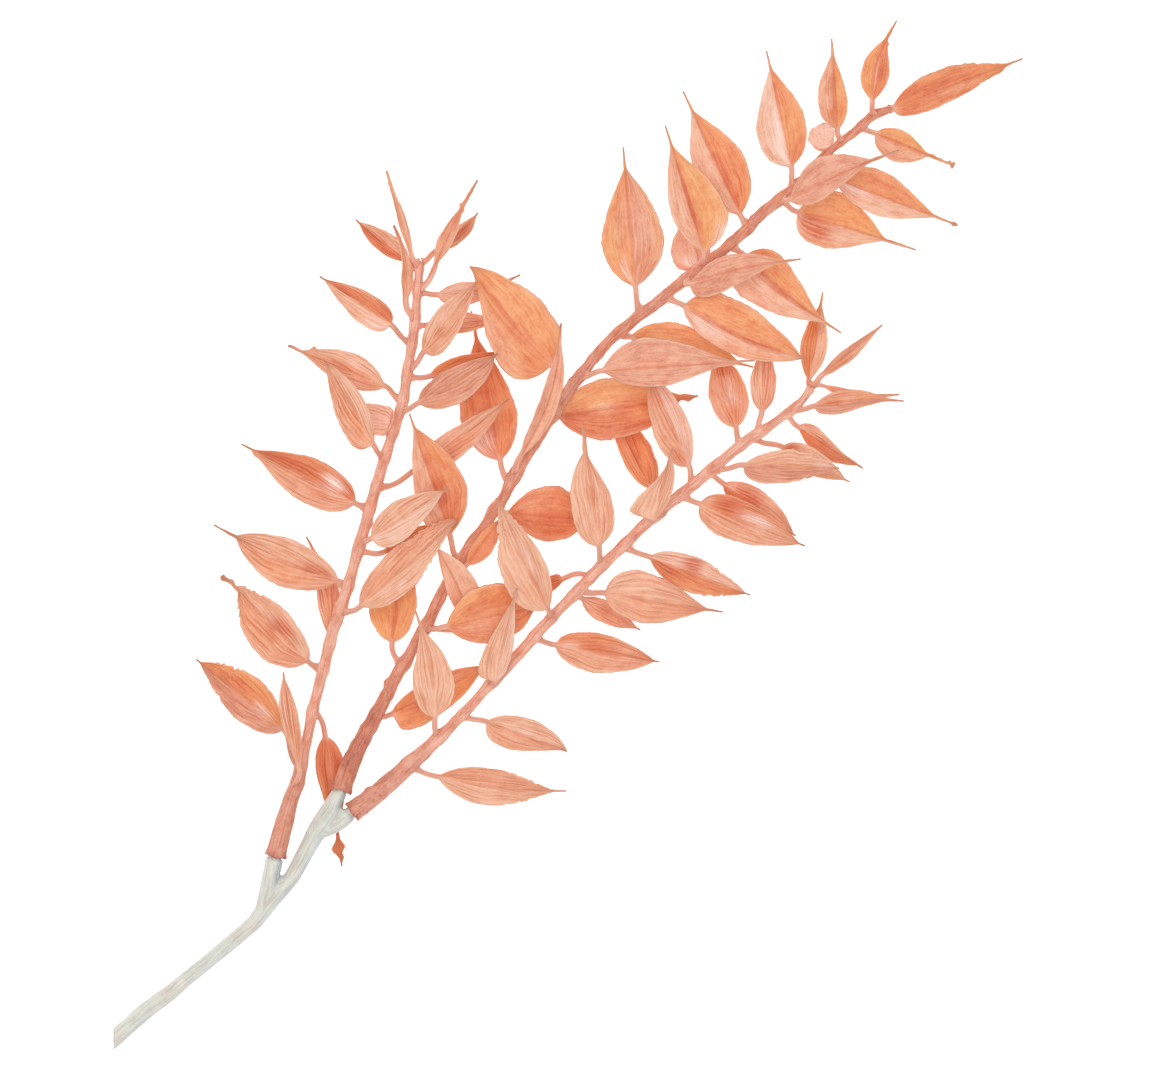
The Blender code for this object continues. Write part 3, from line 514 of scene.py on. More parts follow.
# %% Nearest place on a stem
def nearest_on(stations, px, py):
    """(middle, direction, radius) of a stem nearest to a pixel, over all its straight runs at once."""
    table = np.array(stations, float)
    first, second = table[:-1], table[1:]
    step = second[:, :2] - first[:, :2]
    share = np.clip(((np.array([px, py]) - first[:, :2]) * step).sum(1) / (step**2).sum(1), 0, 1)
    found = first + (second - first) * share[:, None]
    best = np.argmin(np.hypot(found[:, 0] - px, found[:, 1] - py))
    direction = unit(place(*second[best, :3]) - place(*first[best, :3]))
    return place(*found[best, :3]), direction, found[best, 3] * MM


knob = nearest_on(LEFT_STEM, *LEAVES["left"][13]["attach"])
print("stem radius under left leaf 13, mm:", round(float(knob[2] / MM), 2))

# %% [markdown]
# ## The leaf: middle line
# The stalk is a smooth curve that leaves the stem sideways and arrives in line with the blade. The blade
# runs from its base to the needle's end, arches a little above the straight line, and bends sideways.

# %% Middle line and frame of a leaf
STALK_ROWS = 9
BLADE_ROWS = 56
EVEN_PART = 0.6  # the other part of the spacing crowds the rows at both ends
ARCH = 0.035
UNDER_SKIN_MM = 0.5
LEAN = 0.6  # how far a stalk leans towards its blade as it leaves the stem
LEAVE_PULL = 0.8
ARRIVE_PULL = 1.1


def leaf_line(stations, leaf):
    """Rows of (middle, across, up), the share along each row, and the blade's length in metres.

    Stalk: a cubic Hermite curve. Blade: base + run * share, plus the half wave sin(pi * share) twice,
    upwards by ARCH and sideways by the bend.
    """
    base = place(*leaf["base"], leaf["heights"][0])
    tip = place(*leaf["tip"], leaf["heights"][1])
    length = np.linalg.norm(tip - base)
    run = (tip - base) / length
    level = unit(np.cross([0, 0, 1], run))
    above = np.cross(run, level)
    turn = math.radians(leaf["roll"])
    up = above * math.cos(turn) - level * math.sin(turn)
    bow = level * leaf["bend"] + above * ARCH

    even = np.linspace(0, 1, BLADE_ROWS)
    share = EVEN_PART * even + (1 - EVEN_PART) * (1 - np.cos(np.pi * even)) / 2
    blade = base + (run * length) * share[:, None] + bow * length * np.sin(np.pi * share)[:, None]

    middle, along_stem, radius = nearest_on(stations, *leaf["attach"])
    toward = base - middle
    radial = unit(toward - along_stem * (toward @ along_stem))
    start = middle + radial * (radius - UNDER_SKIN_MM * MM)
    reach = np.linalg.norm(base - start)
    leave = (radial + LEAN * unit(toward)) * reach * LEAVE_PULL
    arrive = (run + bow * np.pi) * reach * ARRIVE_PULL
    t = np.linspace(0, 1, STALK_ROWS, endpoint=False)[:, None]
    stalk = (
        start * (2 * t**3 - 3 * t**2 + 1)
        + leave * (t**3 - 2 * t**2 + t)
        + base * (3 * t**2 - 2 * t**3)
        + arrive * (t**3 - t**2)
    )
    line = np.concatenate([stalk, blade])
    heading = unit(np.gradient(line, axis=0))
    across = unit(np.cross(up, heading))
    upward = np.cross(heading, across)
    along = np.concatenate([(t[:, 0] - 1) * reach / length, share])
    return line, across, upward, along, length


lengths = [leaf_line(STEMS[spray], leaf)[4] / MM for spray in LEAVES for leaf in LEAVES[spray].values()]
print("blades from", round(float(min(lengths))), "to", round(float(max(lengths))), "mm long")

# %% [markdown]
# ## The leaf: outline
# A ruscus blade is widest about a third of the way up, round at the base, and draws out into a needle. The
# outline s^a * (1 - s)^b has just that shape: a/(a + b) is where it is widest, and a larger b hollows the
# flanks before the needle. Left and right halves have their own width, as dried leaves do. All edges waver
# a little, some are torn towards the tip, and some carry scraps.

# %% Half width along the leaf
STALK_HALF_MM = 0.95
FLARE_MM = 0.75
FLARE_REACH = 0.035
BLADE_OPENS = 0.12  # share of the length over which the stalk opens into the blade
NEEDLE_START_MM = 0.62
NEEDLE_END_MM = 0.3
LEAST_POWER = 0.78  # of b, for a leaf without a needle whose row names no power
POWER_BY_NEEDLE = 3.0
MOST_POWER = 1.25
SWAY = 0.03
NIBBLE = 0.012
NEEDLE_SWAY = 0.12
TORN = 0.35
TOOTH_MM = 0.5
NUBS = {
    ("left", 1): ((0.86, 0.012, 1.5, 1),),
    ("left", 4): ((0.7, 0.02, 3.0, 1), (0.66, 0.02, 3.0, -1)),
    ("left", 10): ((0.76, 0.02, 4.5, -1), (0.95, 0.05, 1.5, -1)),
    ("left", 13): ((0.86, 0.03, 2.5, 1),),
    ("left", 16): ((0.97, 0.04, 4.5, 1), (0.8, 0.03, 5.0, -1), (0.9, 0.03, 2.5, -1)),
    ("left", 19): ((0.86, 0.05, 6.5, -1), (0.84, 0.04, 4.5, 1), (0.93, 0.03, 2.5, 1)),
    ("centre", 5): ((0.9, 0.06, 3.0, 1), (0.93, 0.03, 3.0, -1)),
    ("centre", 17): ((0.72, 0.02, 2.0, -1),),
    ("centre", 18): ((0.62, 0.03, 1.5, 1), (0.8, 0.04, 1.5, -1)),
    ("centre", 19): ((0.93, 0.02, 3.0, 1), (0.98, 0.02, 3.5, 1), (0.98, 0.02, 3.0, -1), (0.7, 0.03, 1.0, 1)),
    ("centre", 21): ((0.97, 0.02, 1.6, 1), (0.97, 0.02, 1.6, -1)),
    ("centre", 28): ((0.9, 0.03, 2.0, 1),),
    ("right", 2): ((0.7, 0.02, 1.2, 1),),
    ("right", 10): ((0.8, 0.05, 1.5, 1), (0.9, 0.05, 1.2, -1)),
}  # (share along, reach along, pixels, side): scraps left on the edges
RAGGED = {"left": (9, 12, 16, 17, 24), "centre": (18, 19), "right": (2, 5, 9, 21)}


def half_width(along, half, needle, seed, ragged):
    """Half width in metres: the power outline up to the needle, softly joined to stalk and needle."""
    widest_px, at, *power = half
    fall = power[0] if power else min(MOST_POWER, LEAST_POWER + POWER_BY_NEEDLE * needle)
    rise = fall * at / (1 - at)
    share = np.clip(along / (1 - needle), 0, 1)
    top = at**rise * (1 - at) ** fall
    blade = widest_px * PIXEL_MM * share**rise * (1 - share) ** fall / top
    blade = blade * (1 + SWAY * wander(along * 2.5, seed) + NIBBLE * wander(along * 14, seed + 1))
    if ragged:
        teeth = np.abs(wander(along * 13, seed + 5)) * ramp(along, 0.45, 0.75)
        blade = blade * (1 - TORN * teeth) + TOOTH_MM * teeth * (share < 1)
    stalk_mm = min(STALK_HALF_MM, 0.5 * widest_px * PIXEL_MM)
    flare = FLARE_MM * np.exp(-(((along - along[0]) / FLARE_REACH) ** 2))
    slim = ramp(along, 0.0, BLADE_OPENS)
    stem_side = (stalk_mm + flare) * (1 - slim)
    point = (NEEDLE_START_MM + (NEEDLE_END_MM - NEEDLE_START_MM) * ramp(along, 0.8, 1.0)) * slim
    point = point * (1 + NEEDLE_SWAY * wander(along * 11, seed + 2))
    return either(either(blade, stem_side), point) * MM


plain_half = half_width(np.linspace(0, 1, 101), (20, 0.35), 0.1, 1, False)
print("a half 20 pixels wide is", round(float(plain_half.max() / MM), 2), "mm at its widest")

# %% [markdown]
# ## The leaf: a thin cupped sheet with ribs
# Across the leaf the ring is a flat lens: nearly round in the stalk and thin in the blade. Its edges rise a
# little, as a drying leaf cups, and wave. Raised ribs leave the base beside the middle line, swing out to
# the edge and run to the tip. Left to right is -1 to 1 of each half's own width, so a rib that keeps its
# share narrows with the leaf at both ends, as real veins do.

# %% Leaf surface from two parameters
COLUMNS = 41
UNDER_COLUMNS = 25
CUP = 0.16
BLADE_MM = 0.55
STALK_MM = 1.5
BROAD_MM = 3  # half width from which ribs, crease and waves have their full height
CREASE_MM = 0.22
CREASE_HALF_MM = 0.55
WAVE_MM = 0.4
RIB_COUNT = {"left": 4.5, "centre": 5.5, "right": 4.5}
RIB_MM = {"left": 0.17, "centre": 0.05, "right": 0.15}
RIB_SWEEP = {"left": 0.5, "centre": 0.25, "right": 0.42}
RIBS_UNDER = 0.6  # ribs underneath for each rib on top
FLOOR_MM = 0.03
LEAF_SEED = {"left": 100, "centre": 200, "right": 300}
PATTERN_STEP_MM = 7.3  # each leaf takes its fibres from another part of the pattern


def leaf_surface(spray, number, leaf):
    """Points, faces and values of one leaf from u, the share along, and v, the share across.

    A point is the middle line + across * v * half width + up * height. The height adds ribs (a cosine of
    |v| less the sweep by u), a crease, a cup |v|^1.5 and waves v^2 to half the thickness times
    sqrt(1 - |v|^fullness), which stands up on top and down underneath.
    """
    line, across, upward, along, length = leaf_line(STEMS[spray], leaf)
    seed = LEAF_SEED[spray] + number
    ragged = number in RAGGED[spray]
    steep = math.cos(math.radians(leaf["roll"]))
    left = half_width(along, leaf["left"], leaf["needle"], seed, ragged) / steep
    right = half_width(along, leaf["right"], leaf["needle"], seed + 50, ragged) / steep
    for at, reach, px, way in NUBS.get((spray, number), ()):
        scrap = px * PIXEL_MM * MM * np.exp(-(((along - at) / reach) ** 2))
        left = left + scrap * (way > 0)
        right = right + scrap * (way < 0)

    v = np.concatenate([np.linspace(-1, 1, COLUMNS), np.linspace(1, -1, UNDER_COLUMNS)[1:-1]])[None, :]
    side = np.where(np.arange(v.size) < COLUMNS, 1.0, -1.0)[None, :]
    u = along[:, None]
    width = np.where(v > 0, left[:, None], right[:, None])
    offset = v * width
    in_blade = ramp(u, 0.0, BLADE_OPENS)
    broad = np.clip(width / (BROAD_MM * MM), 0, 1) * in_blade

    sweep = np.abs(v) - RIB_SWEEP[spray] * u + 0.04 * wander(u * 1.5, seed + 9)
    rib = np.cos(2 * np.pi * RIB_COUNT[spray] * np.where(side > 0, 1.0, RIBS_UNDER) * sweep)
    relief = RIB_MM[spray] * rib * broad * (1 - np.abs(v) ** 8)
    crease = -CREASE_MM * np.exp(-((offset / (CREASE_HALF_MM * MM)) ** 2)) * broad
    lift = CUP * width / MM * np.abs(v) ** 1.5 * in_blade
    waves = WAVE_MM * np.abs(v) ** 2 * wander(u * 1.6 + 0.3 * np.sign(v), seed + 3) * broad
    fullness = 2 + 6 * ramp(u, 0.0, 0.1)
    slender = BLADE_MM + (STALK_MM - BLADE_MM) * (1 - ramp(u, -0.02, BLADE_OPENS))
    slender = np.minimum(slender, 1.7 * width / MM)
    half_thick = 0.5 * slender * np.sqrt(1 - np.abs(v) ** fullness)
    height = (relief + crease + lift + waves + side * half_thick) * MM

    rings = line[:, None] + across[:, None] * offset[..., None] + upward[:, None] * height[..., None]
    rings[..., 2] = np.maximum(rings[..., 2], FLOOR_MM * MM)

    tones, gloss_and_painted_highlight = leaf_tones(u, v, offset, sweep, leaf, spray, seed)
    widest_px = max(leaf["left"][0], leaf["right"][0])
    over_mm = np.sign(v) * sweep * widest_px * PIXEL_MM
    strand = (u * length / MM, over_mm, PATTERN_STEP_MM * number)
    # The rib mask is partly the leaf's own colour and partly painted light and shade: lighter on the crests,
    # darker in the grooves.
    values = skin_values(tones, strand, gloss_and_painted_highlight, 0.5 - 0.5 * rib * broad, np.abs(v) ** 14 * broad)
    values["UVMap"] = np.stack(np.broadcast_arrays(u, v * 0.5 + 0.5), axis=-1)
    return loft(rings, line[0], line[-1], values)


# %% [markdown]
# ## The leaf: its tones
# Each half has its own pair of tones: partly the leaf's own colour, partly painted light and shade, since a
# leaf folded along its middle turns one half to the light. Patches are laid over them as soft ovals, broken
# into streaks that follow the ribs; the pale g patches are painted highlights. The middle line is a shade
# darker, except in small pale scraps. The stalk keeps the stem's colour, and the needle dries to brown.

# %% Tones of a leaf from the same two parameters
MIDRIB = {"left": 0.35, "centre": 0.6, "right": 0.3}
MIDRIB_TONE = {"left": "d", "centre": "r", "right": "d"}
MIDRIB_HALF_MM = 0.45
BROWNED = {"left": 0.6, "centre": 0.75, "right": 0.3}


def leaf_tones(u, v, offset, sweep, leaf, spray, seed):
    """((crest, groove), gloss): tones of the halves, then each patch mixed in by exp(-distance^3)."""
    halves = leaf["tones"]
    # The halves' tones are partly painted light and shade: one half is paler where it faces the light.
    on_left = ramp(v, -0.08, 0.08)[..., None] + 0 * u[..., None]
    pairs = zip(TONES[halves[1]], TONES[halves[0]])
    crest, groove = [right * (1 - on_left) + left * on_left for right, left in pairs]
    gloss_and_painted_highlight = 0 * u * v
    streaks = 0.75 + 0.45 * wander(sweep * 5 + 0.4 * u, seed + 21)
    for at_u, at_v, reach_u, reach_v, tone, strength in leaf["patches"]:
        far = np.hypot((u - at_u) / reach_u, (v - at_v) / reach_v)
        mask = np.clip(strength * np.exp(-(far**3)) * streaks * 1.2, 0, 1)
        crest, groove = blend(crest, groove, (tone, mask))
        # A g patch is a painted highlight: its mask also takes the near-white highlight tone and a lower
        # roughness.
        if tone == "g":
            gloss_and_painted_highlight = np.maximum(gloss_and_painted_highlight, mask)
    midrib = 0 if halves == "ww" else MIDRIB[spray]
    midrib = midrib * np.exp(-((offset / (MIDRIB_HALF_MM * MM)) ** 2))
    midrib = midrib * ramp(u, 0.0, 0.1) * (1 - ramp(u, 0.7, 0.9))
    stalk = 1 - ramp(u, -0.01, 0.05) + 0 * v
    needle = BROWNED[spray] * ramp(u, 0.86, 1.0) + 0 * v
    return blend(crest, groove, (MIDRIB_TONE[spray], midrib), ("k", stalk), ("n", needle)), gloss_and_painted_highlight


def blend(crest, groove, *layers):
    """Both tones of a pair, mixed towards other pairs by their masks, one layer after another."""
    for tone, mask in layers:
        share = mask[..., None]
        crest = crest * (1 - share) + TONES[tone][0] * share
        groove = groove * (1 - share) + TONES[tone][1] * share
    return crest, groove


print("middle lines are mixed in by", MIDRIB)

# %% Make the leaves
leaf_pieces = {spray: [] for spray in LEAVES}
for spray, leaves in LEAVES.items():
    for node, numbers in leaf_nodes(spray):
        parts = [leaf_surface(spray, number, leaves[number]) for number in numbers]
        piece = put_mesh(node + "_blade", parts)
        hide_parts(node)
        leaf_pieces[spray].append(piece)
    triangles = sum(len(piece.data.loops) - 2 * len(piece.data.polygons) for piece in leaf_pieces[spray])
    print(spray, "spray:", len(leaf_pieces[spray]), "pieces,", triangles, "triangles")

# %% [markdown]
# ## Spray stems
# A spray stem is a rough, ridged rod. Its lower end is a sleeve with a ragged, slightly flared lip that is
# pushed over a peg, so the surface turns in at the lip and runs down the bore to a closed end. Each leaf
# leaves a swelling where its stalk begins, and broken stubs stand out between them.

# %% Path of a stem
ROW_MM = 0.8
AROUND = 36
BORE_MM = 2.55
BORE_DEEP_MM = 9.5


def smooth_path(stations, row_mm):
    """Points and radii in metres at even steps along a chain, each eased by a running mean of its own."""
    table = np.array(stations, float)
    knots = place(table[:, 0], table[:, 1], table[:, 2])
    reach = np.concatenate([[0], np.cumsum(np.linalg.norm(np.diff(knots, axis=0), axis=1))])
    count = int(reach[-1] / (row_mm * MM)) + 1
    even = np.linspace(0, reach[-1], count)
    columns = [np.interp(even, reach, column) for column in (*knots.T, table[:, 3] * MM)]
    window = np.array([1, 2, 3, 4, 3, 2, 1], float)
    eased = [ease(column, window / window.sum()) for column in columns]
    return np.stack(eased[:3], axis=-1), eased[3], even


def ease(column, window):
    """A running mean that keeps both ends: the column is mirrored through its end values first."""
    pad = len(window) // 2
    before = 2 * column[0] - column[pad:0:-1]
    after = 2 * column[-1] - column[-2 : -pad - 2 : -1]
    return np.convolve(np.concatenate([before, column, after]), window, mode="valid")


def path_frame(points):
    """(heading, sideways, upward) along a path that never stands upright."""
    heading = unit(np.gradient(points, axis=0))
    sideways = unit(np.cross([0.0, 0.0, 1.0], heading))
    return heading, sideways, np.cross(heading, sideways)


print("left stem:", round(float(smooth_path(LEFT_STEM, ROW_MM)[2][-1] / MM)), "mm long")

# %% Surface of a spray stem
STUBS = {
    "left": (13.0, 31.0, 52.0, 83.0, 118.0, 149.0, 177.0),
    "centre": (16.0, 24.0, 40.0, 66.0, 95.0, 128.0, 160.0, 187.0, 215.0, 243.0),
    "right": (9.0, 32.0, 47.0, 70.0, 96.0, 120.0, 147.0, 171.0),
}
STEM_SEED = {"left": 11, "centre": 22, "right": 33}
ROUGH_MM = {"left": 0.1, "centre": 0.3, "right": 0.13}
SWELL_MM = 0.35
SWELL_REACH_MM = 2.2
MOST_SWELL_MM = 0.45
BARE_MM = 0.1  # how much slimmer the bare stem is than its stations say
STUB_REACH_MM = 1.5
LIP_MM = 0.4
LIP_REACH_MM = 1.1
TORN_LIP_MM = 0.4
CLOSING_MM = 2.0
ROUND = 6.283  # radians in a full turn


def stem_surface(spray, stations):
    """A rod from (distance along, angle): radius * (1 + ridges) + swellings + stubs, then lip and bore."""
    points, radius, reach = smooth_path(stations, ROW_MM)
    reach_mm = reach / MM
    down = reach_mm[:, None]
    angle = np.linspace(0, 2 * np.pi, AROUND, endpoint=False)[None, :]
    seed = STEM_SEED[spray]
    draw = np.random.default_rng(seed)

    swell = np.zeros(len(points))
    for leaf in LEAVES[spray].values():
        at = np.argmin(np.linalg.norm(points - nearest_on(stations, *leaf["attach"])[0], axis=1))
        swell += SWELL_MM * np.exp(-(((reach_mm - reach_mm[at]) / SWELL_REACH_MM) ** 2))
    swell = np.minimum(swell, MOST_SWELL_MM)[:, None] - BARE_MM
    ridges = 0.05 * np.cos(5 * angle + 1.6 * wander(down / 40, seed + 1))
    ridges = ridges + 0.03 * np.cos(9 * angle + 2 * wander(down / 25, seed + 2))
    twist = 0.35 * np.sin(angle + 1) + 0.2 * np.cos(3 * angle)
    rough = wander(down / 11 + twist, seed + 3, octaves=4)
    rough = rough * (0.6 + 0.4 * wander(down / 31 + 0.3 * np.cos(2 * angle), seed + 4))
    lumps = np.zeros((len(points), AROUND))
    for at in STUBS[spray]:
        facing = draw.uniform(0, 2 * np.pi)
        near = np.exp(-(((down - at) / STUB_REACH_MM) ** 2))
        lumps = lumps + draw.uniform(0.5, 1.0) * near * np.exp(-8 * (1 - np.cos(angle - facing)))
    lip = LIP_MM * np.exp(-((down / LIP_REACH_MM) ** 2)) * (1 + 0.5 * wander(angle / ROUND * 3, seed + 6))
    closing = np.sqrt(np.clip((reach_mm[-1] - down) / CLOSING_MM, 0.02, 1))
    skin = (radius[:, None] / MM * (1 + ridges) + swell + ROUGH_MM[spray] * rough + lumps + lip) * closing

    inward = np.flatnonzero(reach_mm <= BORE_DEEP_MM)[::-1]
    bore = np.full((len(inward), AROUND), BORE_MM) + 0.04 * rough[inward]
    heading, sideways, upward = path_frame(points)
    outer = ring_points(points, sideways, upward, angle, skin)
    inner = ring_points(points[inward], sideways[inward], upward[inward], angle, bore)
    torn_lip = TORN_LIP_MM * wander(angle[0] / ROUND * 4, seed + 7)[:, None] * heading[0] * MM
    outer[0] = outer[0] + torn_lip
    inner[-1] = inner[-1] + torn_lip * 0.7
    rings = np.concatenate([inner, outer])

    along_mm = np.concatenate([reach_mm[inward], reach_mm])[:, None] + 0 * angle
    bumpy = np.concatenate([np.full(bore.shape, -0.4), rough + 1.2 * lumps])
    tones = stem_tones(spray, along_mm, angle, bumpy, seed)
    nothing = 0 * along_mm
    strand = (along_mm, angle * 2.4, 3.1 * seed)
    values = skin_values(tones, strand, nothing, np.clip(0.4 - 0.35 * bumpy, 0, 1), nothing)
    values["UVMap"] = np.stack([along_mm / 100, angle / ROUND + nothing], axis=-1)
    return loft(rings, points[inward[0]], points[-1] + heading[-1] * 0.4 * MM, values)


def ring_points(path, sideways, upward, angle, radius_mm):
    """Rings about a path: the angle starts on the right and goes over the top."""
    right = -np.cos(angle)[..., None] * sideways[:, None]
    over = np.sin(angle)[..., None] * upward[:, None]
    return path[:, None] + (right + over) * radius_mm[..., None] * MM


def stem_tones(spray, along_mm, angle, bumpy, seed):
    """Stalk colour with bruises: darker at the collar, at bumps, and low on the centre spray."""
    crest, groove = (np.broadcast_to(tone, (*along_mm.shape, 3)) for tone in TONES["k"])
    spots = ramp(wander(along_mm / 14 + 0.5 * np.sin(angle), seed + 8), 0.35, 1.1)
    layers = [("d", 0.55 * spots)]
    layers.append(("c", np.clip(0.5 * bumpy, 0, 0.7)))
    layers.append(("c", 0.5 * (1 - ramp(along_mm, 18, 45))))
    if spray == "centre":
        low = ramp(along_mm, 4, 12) * (1 - ramp(along_mm, 22, 42))
        flakes = ramp(wander(along_mm / 8 + 0.6 * np.cos(angle), seed + 9), 0.3, 0.8)
        knots = ramp(wander(along_mm / 10 + 0.5 * np.sin(2 * angle), seed + 10), 0.45, 0.9)
        layers.append(("c", 0.45 + 0.5 * low))
        layers.append(("o", 0.55 * flakes * (1 - low)))
        layers.append(("r", 0.5 * knots))
    layers.append(("c", 0.75 * np.exp(-((along_mm / 1.6) ** 2))))
    return blend(crest, groove, *layers)


# %% Make the spray stems
stem_pieces = []
for spray, stations in STEMS.items():
    piece = put_mesh(f"{spray}_spray_stem_skin", [stem_surface(spray, stations)])
    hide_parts(f"{spray}_spray_stem")
    stem_pieces.append(piece)
    print(piece.name, len(piece.data.polygons), "faces")

# %% [markdown]
# ## The pale stem
# The pale stem forks twice, and three pegs stand in the sleeves. Rods cut into one another would leave hard
# lines in the forks, so they are remeshed into one skin by voxels and eased, which fills the forks as the
# real one is filled. Its oblique end is then cut flat.

# %% Rods of the pale stem, joined by a voxel remesh
VOXEL_MM = 0.5
PEG_MM = 2.25
PEG_BEFORE_MM = 3.5
PEG_CLEAR_MM = 0.6
ROD_SIDES = 24
EASED_BY = 0.5
EASED_TIMES = 6


def rod(stations):
    """A plain round rod along some stations, as loft data without values."""
    points, radius, _ = smooth_path(stations, ROW_MM)
    _, sideways, upward = path_frame(points)
    angle = np.linspace(0, 2 * np.pi, ROD_SIDES, endpoint=False)[None, :]
    radius_mm = np.repeat(radius[:, None] / MM, ROD_SIDES, axis=1)
    rings = ring_points(points, sideways, upward, angle, radius_mm)
    return loft(rings, points[0], points[-1], {})


def peg_stations(stations):
    """Two stations on the first straight run of a spray stem, from outside it to near its bore's end."""
    first, second = np.array(stations[0], float), np.array(stations[1], float)
    whole_mm = np.linalg.norm(place(*second[:3]) - place(*first[:3])) / MM
    reaches = (-PEG_BEFORE_MM, BORE_DEEP_MM - PEG_CLEAR_MM)
    ends = [first + (second - first) * reach / whole_mm for reach in reaches]
    return [(*end[:3], PEG_MM) for end in ends]


rods = [rod(stations) for stations in (PALE_MAIN, PALE_LEFT, PALE_RIGHT)]
rods += [rod(peg_stations(stations)) for stations in STEMS.values()]
pale = put_mesh("pale_stem_skin", rods)
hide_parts("pale_stem")
remesh = pale.modifiers.new("one skin", "REMESH")
remesh.mode = "VOXEL"
remesh.voxel_size = VOXEL_MM * MM
soften = pale.modifiers.new("eased", "SMOOTH")
soften.factor = EASED_BY
soften.iterations = EASED_TIMES
graph = bpy.context.evaluated_depsgraph_get()
joined = bpy.data.meshes.new_from_object(pale.evaluated_get(graph))
pale.modifiers.clear()
pale.data = joined
print("pale stem:", len(joined.polygons), "faces")

# %% [markdown]
# The oblique cut is a plane that stands upright and runs up the photo. Points beyond it are moved onto it
# along the stem, and are remembered so that the cut can have its own colour. The skin also gets shallow
# dents, a raised scar near the cut, and a pinkish blush and a bluish shaded side as the real one has.

# %% Grain, dents and the oblique cut
CUT_ROW_PX = 1039
DENT_MM = 0.09
SCAR_AT = place(176, 988, 11.5)
SCAR_MM = 0.35
SCAR_REACH_MM = 2.2
# A painted highlight on the pale stem: a spot about GLINT_AT, laid through the same mask as the leaves'
# highlights.
GLINT_AT = place(180, 985, 12.0)
GLINT_REACH_MM = 1.6


def read_vectors(mesh, field):
    """A vector of every point of a mesh, such as its place or its normal, as rows of three numbers."""
    found = np.zeros(len(mesh.vertices) * 3, np.float32)
    mesh.vertices.foreach_get(field, found)
    return found.reshape(-1, 3).astype(float)


def spot(points, centre, reach_mm):
    """exp(-(distance / reach)^2) about a centre."""
    return np.exp(-((np.linalg.norm(points - centre, axis=1) / (reach_mm * MM)) ** 2))


mesh = pale.data
skin = read_vectors(mesh, "co")
outward = read_vectors(mesh, "normal")
photo_right = np.array([math.cos(TURN), math.sin(TURN), 0.0])
cut_end = place(*PALE_MAIN[0][:3])
stem_way = unit(place(*PALE_MAIN[3][:3]) - cut_end)
along_pale = (skin - cut_end) @ stem_way / MM
dents = DENT_MM * wander(along_pale / 7 + skin[:, 2] / MM * 0.13, 41) * wander(along_pale / 4, 42)
scar = SCAR_MM * spot(skin, SCAR_AT, SCAR_REACH_MM)
skin = skin + outward * ((dents + scar) * MM)[:, None]
beyond = (place(CUT_PX, CUT_ROW_PX, 0.0) - skin) @ photo_right
cut = beyond > 0
slide = stem_way / (stem_way @ photo_right)
skin = skin + slide * np.where(cut, beyond, 0)[:, None]
skin[:, 2] = np.maximum(skin[:, 2], 0.0)
mesh.vertices.foreach_set("co", skin.astype(np.float32).ravel())
mesh.shade_smooth()
blush = ramp(wander(along_pale / 33, 43) + 0.4 * wander(along_pale / 9, 44), 0.2, 1.1)
shaded = ramp(outward @ photo_right, 0.1, 0.9)
crest, groove = (np.broadcast_to(tone, skin.shape) for tone in TONES["i"])
layers = (("j", 0.5 * blush), ("l", 0.75 * shaded), ("j", np.where(cut, 0.9, 0.0)))
tones = blend(crest, groove, *layers)
around_pale = np.arctan2(outward[:, 2], outward @ np.cross(stem_way, [0, 0, 1])) * 2.8
glint = spot(skin, GLINT_AT, GLINT_REACH_MM)
even = np.full(len(skin), 0.4)
put_values(mesh, skin_values(tones, (along_pale, around_pale, 5.0), glint, even, 0 * even), None)
print("pale stem points moved onto the cut:", int(cut.sum()))

# %% [markdown]
# ## One skin for everything dry
# Leaves and stems share a way of drying: fibres run along them, fine ones on top of broad ones, and the
# grooves between fibres are darker. A node group makes that pattern from the strand attribute, whose first
# number is the distance along in millimetres and whose second is the distance across. The third moves
# each leaf to its own part of the pattern. The group returns a colour, a roughness and a height, and each
# material adds its own shader.

# %% Node group: dry fibres
PATTERN = ("Broad", "Fine", "Streaks", "Rib", "Mottle", "Rough")
DEEPER = (0.84, 0.67, 0.56)  # share of red, green and blue left in the bottom of a streak
RIM_TONE = (246, 214, 190)
# Near-white tone of the painted highlights on the leaves and the pale stem.
PAINTED_HIGHLIGHT_TONE = (253, 232, 226)


